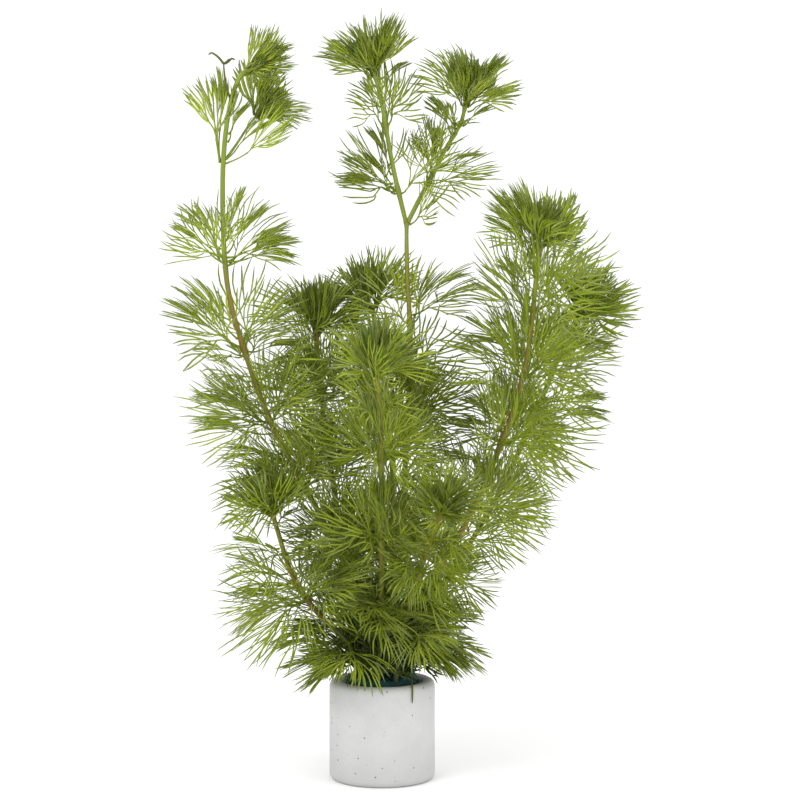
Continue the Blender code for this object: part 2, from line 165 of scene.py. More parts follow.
class Wiring:
    """Adds nodes to one tree from left to right and hands back their outputs."""

    def __init__(self, tree):
        self.tree = tree
        self.count = 0

    def feed(self, socket, value):
        value = value.socket if isinstance(value, Value) else value
        if isinstance(value, bpy.types.NodeSocket):
            self.tree.links.new(value, socket)
        else:
            socket.default_value = value

    def node(self, kind, feeds=None, **settings):
        made = self.tree.nodes.new(kind)
        made.location = (190 * (self.count % 24), -330 * (self.count // 24))
        self.count += 1
        for name, value in settings.items():
            setattr(made, name, value)
        live = [socket for socket in made.inputs if socket.enabled]
        for key, value in (feeds or {}).items():
            socket = live[key] if isinstance(key, int) else next(s for s in live if s.name == key)
            self.feed(socket, value)
        return made

    def values(self, node):
        return {socket.name: Value(self, socket) for socket in node.outputs if socket.enabled}

    def out(self, kind, feeds=None, output=0, **settings):
        made = self.node(kind, feeds, **settings)
        live = [socket for socket in made.outputs if socket.enabled]
        return Value(self, live[output] if isinstance(output, int) else made.outputs[output])

    def group(self, tree, feeds):
        made = self.node(self.tree.bl_idname.replace("NodeTree", "NodeGroup"))
        made.node_tree = tree
        for name, value in feeds.items():
            self.feed(made.inputs[name], value)
        return self.values(made)

    def math(self, operation, *values):
        return self.out("ShaderNodeMath", dict(enumerate(values)), operation=operation)

    def vector(self, operation, *values):
        return self.out("ShaderNodeVectorMath", dict(enumerate(values)), operation=operation)

    def random(self, low, high, identity, seed):
        feeds = {"Min": low, "Max": high, "ID": identity, "Seed": seed}
        return self.out("FunctionNodeRandomValue", feeds)

    def noise(self, place, scale, detail=2.0):
        return self.out("ShaderNodeTexNoise", {"Vector": place, "Scale": scale, "Detail": detail})

    def ramp(self, value, low, high, **settings):
        """0 where the value is low, 1 where it is high, and even between them."""
        feeds = {"Value": value, "From Min": low, "From Max": high}
        return self.out("ShaderNodeMapRange", feeds, clamp=True, **settings)

    def read(self, name, kind="FLOAT"):
        return self.out("GeometryNodeInputNamedAttribute", {"Name": name}, data_type=kind)

    def store(self, geometry, name, value, kind="FLOAT"):
        feeds = {"Geometry": geometry, "Name": name, "Value": value}
        return self.out("GeometryNodeStoreNamedAttribute", feeds, data_type=kind)

    def moved(self, geometry, **feeds):
        """The geometry with a new Position or an Offset."""
        return self.out("GeometryNodeSetPosition", {"Geometry": geometry, **feeds})

    def finished(self, geometry, material):
        """The geometry made real and smooth, with its material."""
        real = self.out("GeometryNodeRealizeInstances", {"Geometry": geometry})
        smooth = self.out("GeometryNodeSetShadeSmooth", {"Geometry": real})
        return self.out("GeometryNodeSetMaterial", {"Geometry": smooth, "Material": material})


def node_group(name, kind, takes, gives):
    """Makes a node group of a function that is given wires and takes, and returns the group's outputs.

    takes and gives hold the default of each socket, or its kind if it has none.
    """

    def build(rule):
        tree = bpy.data.node_groups.new(name, kind + "NodeTree")
        for in_out, sockets in (("INPUT", takes), ("OUTPUT", gives)):
            for socket_name, value in sockets.items():
                has_kind = isinstance(value, str)
                socket_kind = "NodeSocket" + (value if has_kind else type(value).__name__.capitalize())
                socket = tree.interface.new_socket(socket_name, in_out=in_out, socket_type=socket_kind)
                if not has_kind:
                    socket.default_value = value
        wires = Wiring(tree)
        made = rule(wires, wires.values(wires.node("NodeGroupInput")))
        output = wires.node("NodeGroupOutput")
        for socket, value in zip(output.inputs, made if isinstance(made, tuple) else (made,)):
            wires.feed(socket, value)
        return tree

    return build


def placed(name, data):
    """A new object in the scene."""
    made = bpy.data.objects.new(name, data)
    bpy.context.scene.collection.objects.link(made)
    return made


def new_mesh(name, points, edges=(), faces=()):
    mesh = bpy.data.meshes.new(name)
    mesh.from_pydata(points, edges, faces)
    return mesh


def mesh_of(solid, name):
    """The mesh of a bmesh, which is freed."""
    mesh = bpy.data.meshes.new(name)
    solid.to_mesh(mesh)
    solid.free()
    return mesh


def evaluated(source, name):
    """The plain mesh that an object's modifiers make. The object itself is removed."""
    graph = bpy.context.evaluated_depsgraph_get()
    mesh = bpy.data.meshes.new_from_object(source.evaluated_get(graph), depsgraph=graph)
    bpy.data.objects.remove(source)
    mesh.name = name
    return mesh


def grown(name, points, tree, values):
    """The plain mesh object that a Geometry Nodes tree makes from these points."""
    source = placed(name + "_points", points)
    modifier = source.modifiers.new("grow", "NODES")
    modifier.node_group = tree
    for item in tree.interface.items_tree:
        if item.item_type == "SOCKET" and item.in_out == "INPUT" and item.name in values:
            modifier[item.identifier] = values[item.name]
    return placed(name, evaluated(source, name))


def triangle_count(piece):
    return sum(len(face.vertices) - 2 for face in piece.data.polygons)


print("helpers ready")

# %% [markdown]
# ## Reading the leaves from the CAD solids
# Each CAD leaf is a flat hand of four rays on a short stalk, and the stalks of a whorl share one ring
# round the stem. The middle of a hand is easy to find: it is the only kind of corner where nine or
# more edges meet. The farthest of its neighbours are the tips of the rays. Three directions follow for
# each leaf: along the middle ray, sideways over the fan, and up out of its face.

# %% Reading the leaves from the CAD solids
HUB_EDGES = 9
WIDEST_HAND = math.radians(135)
STEM_SURFACE = 0.75 * MM
WELD = 0.002 * MM
ONE_HUB_WITHIN = 0.6 * MM


def welded(node_name):
    """A bmesh copy of a CAD node with its loose triangles joined."""
    made = bmesh.new()
    made.from_mesh(frame["nodes"][node_name].data)
    bmesh.ops.remove_doubles(made, verts=made.verts, dist=WELD)
    return made


def plane_normal(directions):
    """The direction that a set of directions from one point has least of."""
    return Vector(np.linalg.svd(np.array(directions))[2][-1])


def hubs_of(solid):
    """The middles of the leaf hands, one for each leaf, although both faces of a hand have one."""
    found = []
    for vert in solid.verts:
        near = any((vert.co - other.co).length < ONE_HUB_WITHIN for other in found)
        if len(vert.link_edges) >= HUB_EDGES and not near:
            found.append(vert)
    return found


def leaf_at(hub, centre, axis):
    """Where one leaf's fan stands and which way it faces."""
    around = [edge.other_vert(hub).co - hub.co for edge in hub.link_edges]
    rays = sorted(around, key=lambda d: -d.length)[: (len(around) - 1) // 2]
    up = plane_normal([ray.normalized() for ray in rays])
    along = sum((ray.normalized() for ray in rays), Vector()).normalized()
    along = (along - up * along.dot(up)).normalized()
    side = up.cross(along)
    turns = [math.atan2(ray.dot(side), ray.dot(along)) for ray in rays]
    middle = rays[min(range(len(rays)), key=lambda i: abs(turns[i]))]
    ends = [rays[turns.index(min(turns))], rays[turns.index(max(turns))]]
    cup = sum(end.dot(up) / end.length for end in ends) / 2 - middle.dot(up) / middle.length
    if cup < 0:
        up, side, cup = -up, -side, -cup
    outward = hub.co - centre
    outward = (outward - axis * outward.dot(axis)).normalized()
    return {
        "hub": hub.co.copy(),
        "root": centre + outward * STEM_SURFACE,
        "along": along,
        "side": side,
        "up": up,
        "reach": max(ray.length for ray in rays),
        "cup": cup,
        "spread": max(turns) - min(turns),
    }


def whorl_at(node_name):
    """The centre and axis of a whorl, and its leaves."""
    solid = welded(node_name)
    hubs = hubs_of(solid)
    fan_verts = set()
    for vert in solid.verts:
        if len(vert.link_edges) >= HUB_EDGES:
            fan_verts.update([vert, *(edge.other_vert(vert) for edge in vert.link_edges)])
    ring = np.array([vert.co for vert in solid.verts if vert not in fan_verts])
    centre = Vector(ring.mean(axis=0))
    axis = plane_normal(ring - ring.mean(axis=0))
    if axis.z < 0:
        axis.negate()
    leaves = [leaf_at(hub, centre, axis) for hub in hubs]
    leaves = [leaf for leaf in leaves if leaf["spread"] < WIDEST_HAND]
    solid.free()
    return {"name": node_name, "centre": centre, "axis": axis, "leaves": leaves}


whorls = [whorl_at(name) for name in whorl_nodes]
print("read", sum(len(whorl["leaves"]) for whorl in whorls), "leaves in", len(whorls), "whorls")
reaches = [leaf["reach"] / MM for whorl in whorls for leaf in whorl["leaves"]]
print("fans reach", round(min(reaches), 1), "to", round(max(reaches), 1), "mm")

# %% [markdown]
# ## One fork
# A cabomba leaf has no blade. A thread runs out from the stalk and forks in two, each half forks again,
# and after five forks there are 32 tips. All 32 threads are numbered, and the number written in
# binary says which way a thread turns at each fork: left for a 0 and right for a 1. Threads that share
# their last digits are still one thread, so each fork draws its random numbers from the digits that its
# threads share. Two small groups hold that rule: where a fork sits, and how far a thread turns there.

# %% One fork
FORK_TAKES = {"Thread": 0, "Leaf": 0, "Place": 1, "Fork At": 0.5, "Seed": 0}
TURN_TAKES = {**FORK_TAKES, "Out": 0.0, "Opening": 0.1, "Ease": 0.4}
FORK_DRIFT = 0.07
OPENINGS = (0.8, 1.2)
MOST_LEAN = 0.5
# Steps that keep the numbers of all forks apart.
LEAF_STEP, PLACE_STEP = 1009, 37


def fork_identity(wires, takes):
    """A number that only the threads of one fork share."""
    branch = wires.math("MODULO", takes["Thread"], takes["Place"])
    return takes["Leaf"] * LEAF_STEP + takes["Place"] * PLACE_STEP + branch


def fork_point(wires, takes, identity):
    """How far out this fork sits, a little earlier or later in each."""
    shift = wires.random(-FORK_DRIFT, FORK_DRIFT, identity, takes["Seed"])
    return wires.math("MAXIMUM", takes["Fork At"] + shift, 0.0)


def digits_left(wires, takes):
    """The thread's number without the digits of the forks before this one."""
    return wires.math("FLOOR", takes["Thread"] / takes["Place"])


@node_group("thread start", "Geometry", FORK_TAKES, {"Start": "Float"})
def thread_start(wires, takes):
    """Gives the fork's distance to the threads that begin there, and 0 to all others."""
    at = fork_point(wires, takes, fork_identity(wires, takes))
    return wires.math("COMPARE", digits_left(wires, takes), 1.0, 0.1) * at


@node_group("thread turn", "Geometry", TURN_TAKES, {"Turn": "Float", "Lean": "Float"})
def thread_turn(wires, takes):
    """Gives how far a thread has turned because of this fork: over the fan, and out of its face."""
    identity = fork_identity(wires, takes)
    share = wires.ramp(takes["Out"] - fork_point(wires, takes, identity), 0.0, takes["Ease"])
    eased = share * (2.0 - share)
    digit = wires.math("MODULO", digits_left(wires, takes), 2.0)
    opening = takes["Opening"] * wires.random(*OPENINGS, identity, takes["Seed"] + 1)
    lean = wires.random(-MOST_LEAN, MOST_LEAN, identity * 2 + digit, takes["Seed"] + 2)
    return (digit * 2.0 - 1.0) * opening * eased, lean * opening * eased


print("fork groups:", len(thread_start.nodes), "and", len(thread_turn.nodes), "nodes")

# %% [markdown]
# ## The fan of threads
# Each leaf is one point that carries its directions as attributes. The tree copies the point once for
# each thread, puts a line on every copy, and then bends all the lines at once: a point of a line goes
# out from the leaf's hub by its share of the reach, at the angle that the forks above it add up to. The
# line is swept with a flat four-sided section, because a real thread is a narrow strip. It is a little
# wider near its end than in the middle. The stalk is made by the same tree, as a thicker line from the
# stem to the hub.

# %% The fan of threads
# Where the five forks sit, over how long a way a thread turns there, and how far of the fan's spread.
FORKS_AT = (0.0, 0.08, 0.22, 0.36, 0.52)
EASES = (0.5, 0.44, 0.4, 0.36, 0.34)
TURN_SHARES = (0.25, 0.13, 0.072, 0.042, 0.026)
THREADS = 2 ** len(FORKS_AT)
# A thread that begins at a later fork is shorter and gets fewer points.
LINE_POINTS = (9, 9, 8, 7, 6, 5)
STALK_POINTS = (6,)
THREAD_SHAPE = ((0, 1.0), (0.3, 0.72), (0.62, 0.78), (0.9, 0.86), (0.97, 0.68), (1, 0.25))
STALK_SHAPE = ((0, 1.0), (0.25, 0.7), (0.8, 0.62), (1, 0.72))
THREAD_FLATNESS, STALK_FLATNESS = 0.6, 0.85
LENGTHS = (0.84, 1.04)
SHORTER_AT_EDGE = 0.14
ARCHES = (0.3, 1.4)
ARCH_ENDS_AT = 0.9
STALK_SAG = 0.3 * MM


def width_curve(wires, factor, points):
    """A curve of width against the share of the way along."""
    node = wires.node("ShaderNodeFloatCurve", {"Value": factor})
    curve = node.mapping.curves[0]
    for place, point in zip((0, 1), (points[0], points[-1])):
        curve.points[place].location = point
    for point in points[1:-1]:
        curve.points.new(*point)
    node.mapping.update()
    return wires.values(node)["Value"]


def lines_on(wires, points, counts, pick=0):
    """A line on each point, made real so that every one can be bent. pick says which count it gets."""
    kinds = wires.node("GeometryNodeGeometryToInstance")
    for count in reversed(counts):
        line = wires.out("GeometryNodeCurvePrimitiveLine")
        line = wires.out("GeometryNodeResampleCurve", {"Curve": line, "Count": count})
        wires.feed(kinds.inputs["Geometry"], line)
    feeds = {"Instance": kinds.outputs["Instances"], "Pick Instance": True, "Instance Index": pick}
    lines = wires.out("GeometryNodeInstanceOnPoints", {"Points": points, **feeds})
    return wires.out("GeometryNodeRealizeInstances", {"Geometry": lines})


def round_section(wires, sides):
    return wires.out("GeometryNodeCurvePrimitiveCircle", {"Resolution": sides, "Radius": 1.0})


def swept(wires, curve, section, half_width):
    """The lines as closed tubes."""
    feeds = {"Curve": curve, "Profile Curve": section, "Scale": half_width, "Fill Caps": True}
    return wires.out("GeometryNodeCurveToMesh", feeds)


def strips(wires, curve, flatness, half_width):
    """The lines as closed strips, broad across the leaf's face."""
    faced = wires.node("GeometryNodeSetCurveNormal", {"Curve": curve}, mode="FREE")
    wires.feed(faced.inputs["Normal"], wires.read("up", "FLOAT_VECTOR"))
    flat = wires.out("ShaderNodeCombineXYZ", {"X": flatness, "Y": 1.0, "Z": 1.0})
    feeds = {"Geometry": round_section(wires, 4), "Scale": flat}
    section = wires.out("GeometryNodeTransform", feeds)
    return swept(wires, faced.outputs["Curve"], section, half_width)


FAN_TAKES = {
    "Leaves": "Geometry", "Thread Width": 0.0005, "Stalk Width": 0.0009, "Arch": 0.2, "Wave": 0.035,
    "Wave Turns": 7.0, "Seed": 0, "Material": "Material",
}


@node_group("fans of forking threads", "Geometry", FAN_TAKES, {"Threads": "Geometry"})
def forking_fans(wires, takes):
    seed = takes["Seed"]
    leaves = wires.out("GeometryNodeMeshToPoints", {"Mesh": takes["Leaves"]})
    feeds = {"Geometry": leaves, "Amount": wires.read("threads", "INT")}
    copies = wires.values(wires.node("GeometryNodeDuplicateElements", feeds, domain="POINT"))
    numbered = wires.store(copies["Geometry"], "thread", copies["Duplicate Index"], "INT")
    thread, leaf = (wires.read(name, "INT") for name in ("thread", "leaf"))
    born = wires.math("CEIL", wires.math("LOGARITHM", thread + 1.0, 2.0))
    threads = lines_on(wires, numbered, LINE_POINTS, born)

    directions = ("hub", "root", "along", "side", "up")
    hub, root, along, side, up = (wires.read(name, "FLOAT_VECTOR") for name in directions)
    reach, spread = wires.read("reach"), wires.read("spread")
    factor = wires.out("GeometryNodeSplineParameter", output="Factor")
    forks = [
        {"Thread": thread, "Leaf": leaf, "Place": 2**level, "Fork At": fork_at, "Seed": seed}
        for level, fork_at in enumerate(FORKS_AT)
    ]
    start = sum(wires.group(thread_start, feeds)["Start"] for feeds in forks)
    out = start + factor * (1.0 - start)
    turn, lean = 0.0, 0.0
    for feeds, share, ease in zip(forks, TURN_SHARES, EASES):
        feeds = {**feeds, "Out": out, "Opening": spread * share, "Ease": ease}
        found = wires.group(thread_turn, feeds)
        turn += found["Turn"]
        lean += found["Lean"]

    own = leaf * (2 * THREADS) + thread
    length = wires.random(*LENGTHS, own, seed + 7)
    edge = turn / (spread * 0.5)
    edge = edge * edge
    further = out * out
    turn = wires.read("bend") * further + turn
    swing = wires.random(-math.pi, math.pi, own, seed + 8)
    wave = wires.math("SINE", out * takes["Wave Turns"] + swing)
    turn = wave * takes["Wave"] * out + turn
    distance = reach * length * (out * (1.0 - edge * SHORTER_AT_EDGE))
    ahead = distance * wires.math("COSINE", turn)
    across = distance * wires.math("SINE", turn)
    arch = takes["Arch"] * wires.random(*ARCHES, leaf, seed)
    lift = wires.read("cup") * edge + lean + arch * (ARCH_ENDS_AT - out)
    hang = wires.read("droop") * further * distance
    fall = wires.out("ShaderNodeCombineXYZ", {"Z": hang * -1.0})
    place = hub + along * ahead + side * across + up * (lift * distance) + fall
    bent = wires.store(wires.moved(threads, Position=place), "out", out)
    bent = wires.store(bent, "thread_tint", wires.random(0.0, 1.0, own, seed + 9))
    width = takes["Thread Width"] * wires.read("stout")
    half_width = width * 0.5 * width_curve(wires, out, THREAD_SHAPE)
    thread_strips = strips(wires, bent, THREAD_FLATNESS, half_width)

    sag = wires.math("SINE", factor * math.pi) * -STALK_SAG
    place = root + (hub - root) * factor + up * sag
    stalks = wires.moved(lines_on(wires, leaves, STALK_POINTS), Position=place)
    half_width = takes["Stalk Width"] * 0.5 * width_curve(wires, factor, STALK_SHAPE)
    stalk_strips = strips(wires, wires.store(stalks, "out", 0.0), STALK_FLATNESS, half_width)

    both = wires.node("GeometryNodeJoinGeometry")
    for part in (thread_strips, stalk_strips):
        wires.feed(both.inputs["Geometry"], part)
    return wires.finished(both.outputs["Geometry"], takes["Material"])


print("fan tree:", len(forking_fans.nodes), "nodes,", THREADS, "threads a leaf")

# %% [markdown]
# ## Surface effects shared by the materials
# Living things are never one flat colour. Two small shader groups give every material its unevenness.
# One mixes a slow mottling and a fine grain into a mask. The other turns a pattern into tiny pits.
# They give out masks only, and each material decides what the mask does.

# %% Surface effects shared by the materials
SCREEN_GAMMA = 2.2
BUMP_HEIGHT = 0.2 * MM
MOTTLING_TAKES = {"Vector": "Vector", "Slow Scale": 120.0, "Fine Scale": 1800.0, "Fine Share": 0.4}


@node_group("mottling", "Shader", MOTTLING_TAKES, {"Mask": "Float", "Fine": "Float"})
def mottling(wires, takes):
    slow = wires.noise(takes["Vector"], takes["Slow Scale"], 3.0)
    fine = wires.noise(takes["Vector"], takes["Fine Scale"], 4.0)
    feeds = {"Factor": takes["Fine Share"], "A": slow, "B": fine}
    both = wires.out("ShaderNodeMix", feeds, data_type="FLOAT")
    return wires.ramp(both, 0.3, 0.7), fine


PITS_TAKES = {"Vector": "Vector", "Scale": 300.0, "Radius": 0.1, "Share": 0.3}


@node_group("pits", "Shader", PITS_TAKES, {"Pit": "Float"})
def pits(wires, takes):
    """Small round pits at some of a Voronoi pattern's points, 1 inside a pit and 0 outside."""
    feeds = {"Vector": takes["Vector"], "Scale": takes["Scale"]}
    cells = wires.values(wires.node("ShaderNodeTexVoronoi", feeds))
    uneven = wires.noise(takes["Vector"], 4000.0) * 0.1 + cells["Distance"]
    inside = wires.ramp(uneven, takes["Radius"] + 0.05, takes["Radius"])
    red = wires.out("ShaderNodeSeparateColor", {"Color": cells["Color"]}, output="Red")
    return inside * wires.math("LESS_THAN", red, takes["Share"])


def mottled(wires, place, slow, fine, share=0.4):
    feeds = {"Vector": place, "Slow Scale": slow, "Fine Scale": fine, "Fine Share": share}
    return wires.group(mottling, feeds)


def pitted(wires, place, scale, radius, share):
    feeds = {"Vector": place, "Scale": scale, "Radius": radius, "Share": share}
    return wires.group(pits, feeds)["Pit"]


def attribute(wires, name):
    return wires.out("ShaderNodeAttribute", output="Fac", attribute_name=name)


def new_material(name):
    """An empty material, its wiring, its shader, and the place on the object to colour by."""
    material = bpy.data.materials.new(name)
    material.use_nodes = True
    material.node_tree.nodes.clear()
    wires = Wiring(material.node_tree)
    shader = wires.node("ShaderNodeBsdfPrincipled")
    output = wires.node("ShaderNodeOutputMaterial")
    wires.feed(output.inputs["Surface"], shader.outputs["BSDF"])
    return material, wires, shader, wires.out("ShaderNodeTexCoord", output="Object")


def linear(red, green, blue):
    """A screen colour, 0 to 255, as the linear values that shaders use."""
    return tuple((value / 255) ** SCREEN_GAMMA for value in (red, green, blue)) + (1.0,)


def mixed(wires, factor, one, other):
    node = wires.node("ShaderNodeMix", data_type="RGBA")
    for socket, value in zip((node.inputs[0], node.inputs[6], node.inputs[7]), (factor, one, other)):
        wires.feed(socket, value)
    return Value(wires, node.outputs[2])


def painted(wires, body, *coats):
    """A colour under coats. Each coat is where it lies, how thick it is, and its screen colour."""
    for mask, share, colour in coats:
        body = mixed(wires, mask * share, body, linear(*colour))
    return body


def finished(wires, shader, body, rough, relief, strength, height=BUMP_HEIGHT, **settings):
    """Feeds the shader its colour, its roughness and a bump from a relief."""
    feeds = {"Height": relief, "Strength": strength, "Distance": height}
    bump = wires.out("ShaderNodeBump", feeds, output="Normal", **settings)
    for name, value in (("Base Color", body), ("Roughness", rough), ("Normal", bump)):
        wires.feed(shader.inputs[name], value)


print("shader groups ready")

# %% [markdown]
# ## Leaf green
# Cabomba threads are a fresh yellow green where the light falls on them, and end in a dull grey-green
# point. Painted shade makes them olive near the stalk. Whole leaves differ too: young ones are bright,
# old ones dark, and leaves inside and low in the bunch, in the middles of crowns and at its foot are
# darker with painted shade. The node trees stored how far out along its thread each point lies, so the
# colour can follow the thread.

# %% Leaf green
def leaf_green():
    material, wires, shader, place = new_material("leaf_green")
    names = ("out", "age", "thread_tint", "dulled")
    out, age, tint, dulled = (attribute(wires, name) for name in names)
    patches = mottled(wires, place, 140.0, 2600.0)
    young = mixed(wires, tint, linear(140, 164, 22), linear(196, 208, 92))
    old_and_shaded = mixed(wires, tint, linear(84, 98, 12), linear(154, 162, 46))
    body = painted(
        wires,
        # Leaves that are old, or deep inside and low in the bunch with painted shade, take the darker
        # colours.
        mixed(wires, age, young, old_and_shaded),
        (patches["Mask"], 0.35, (112, 126, 22)),
        (wires.ramp(tint, 0.7, 0.9), 0.6, (108, 120, 92)),
        # Painted shade darkens the inner leaves of crowns and the whorls at the foot to a near-black
        # green.
        (dulled, 1.0, (38, 52, 16)),
        # Painted shade: each thread darkens to olive near the stalk.
        (wires.ramp(out, 0.3, 0.0), 0.5, (106, 122, 24)),
        (wires.ramp(out, 0.75, 1.0), 0.7, (66, 82, 50)),
    )
    finished(wires, shader, body, patches["Fine"] * 0.25 + 0.42, patches["Fine"], 0.25)
    shader.inputs["Specular IOR Level"].default_value = 0.25
    shader.inputs["Subsurface Weight"].default_value = 0.2
    shader.inputs["Subsurface Radius"].default_value = (0.9, 1.0, 0.25)
    shader.inputs["Subsurface Scale"].default_value = 0.6 * MM
    return material


leaf_material = leaf_green()
print("leaf material:", len(leaf_material.node_tree.nodes), "nodes")

# %% [markdown]
# ## More leaves than the solids show
# A real bunch is fuller than a CAD model with one solid for each whorl. Four kinds of leaves fill it
# up: others of the same whorl between its CAD leaves, rings of young leaves in a crown, whole whorls
# between two that are far apart, and single leaves where the bunch has one more. The tables here say
# how many and where. Random draws come from two generators with fixed seeds, so that every run grows
# the same bunch.

# %% More leaves than the solids show
CUP_CLEARANCE = 1.5 * MM
# How far a tip may pass the CAD box in x, y and z, before its leaf droops.
BOX_MARGINS = (0.6 * MM, -3.2 * MM, 0.6 * MM)
CROWDED_BELOW = 112 * MM
FAR_APART = 12 * MM
FIT_TRIES, FIT_STEP = 12, 0.94
# How much of a stalk's length is kept, because its threads begin nearer to the stem.
STALK_KEPT, CROWN_STALK_KEPT, LONG_STALK_KEPT = 0.38, 0.15, 0.7
WIDEN, CROWN_WIDEN = 1.1, 0.9
PLAIN_THREADS = 16
LEAST_AND_MOST_THREADS = (20, THREADS + 1)
# Layers of leaves between those of a whorl: how far round, how much steeper in degrees, and size.
CROWDED_LAYERS = ((1, -14, 0.9), (0.5, 10, 0.95), (1.5, 24, 0.85))
PLAIN_LAYERS = ((1, 8, 0.92),)
LAYER_OF_A_PAIR = (0.2, -16, 0.97)
# Rings of young leaves: how far round, how nearly upright, size, and share of the spread.
YOUNG_RINGS = ((0.8, 0.35, 0.9, 0.75), (0.0, 0.7, 0.78, 0.6))
STEEPEST = math.radians(86)
# How much chance turns a leaf in radians, tilts it in degrees, and changes its size.
LAYER_TURN, LAYER_TILT, LAYER_SIZES = 0.25, 8, (0.9, 1.03)
YOUNG_TURN, YOUNG_TILT, YOUNG_SIZES = 0.6, 14, (0.66, 1.08)
YOUNG_PAINTED_SHADE = 0.7
WHORL_TWISTS, WHORL_TILT = (0.4, 1.2), 0.2
# A whorl between two others: its place on the way, size, how far it is raised in radians, and how much
# painted shade darkens it.
BETWEEN = (0.55, 0.85, -0.1, 0.0)
# Whorls just above the foam: height in mm, size, how far they are raised in radians, and how much
# painted shade darkens them.
FOOT_WHORLS = (
    (26, 0.5, 0.7, 0.9),
    (27.5, 0.62, 0.2, 0.9),
    (28, 0.6, 0.95, 0.9),
    (30, 0.68, 0.9, 0.85),
    (32.5, 0.75, 0.8, 0.7),
    (36, 0.8, 0.6, 0.5),
    (40, 0.8, 0.4, 0.3),
)


def whorls_named(numbers_of):
    return [f"leaves_{stem}_{number}" for stem, numbers in numbers_of.items() for number in numbers]


LONG_STALKED = whorls_named({"left_tall": (6,)})
SPARSE = whorls_named({"far_right": (1, 2), "right_main": (1, 2)})
UNFILLED = whorls_named({
    "centre_tall": (2, 3),
    "centre_tall_left_branch": (1, 2),
    "centre_tall_right_branch": (1,),
    "right_main": (1, 2),
    "left_tall": (4, 5, 6),
    "far_right": (1, 2, 3, 4),
})
FILLED_BETWEEN = ("stem_right_main",)
# How far the threads of some whorls reach, against the CAD leaves.
REACH_SHARES = {
    "crown_left_tall": 0.8,
    "crown_left_tall_side_shoot": 0.88,
    "crown_right_main": 0.83,
    "crown_centre_tall_left_branch": 0.91,
    "crown_centre_tall_right_branch": 0.88,
    "leaves_left_tall_6": 0.92,
    "leaves_right_main_2": 0.82,
    "leaves_far_right_1": 0.78,
    "leaves_far_right_2": 0.72,
    "leaves_centre_tall_left_branch_1": 1.06,
}
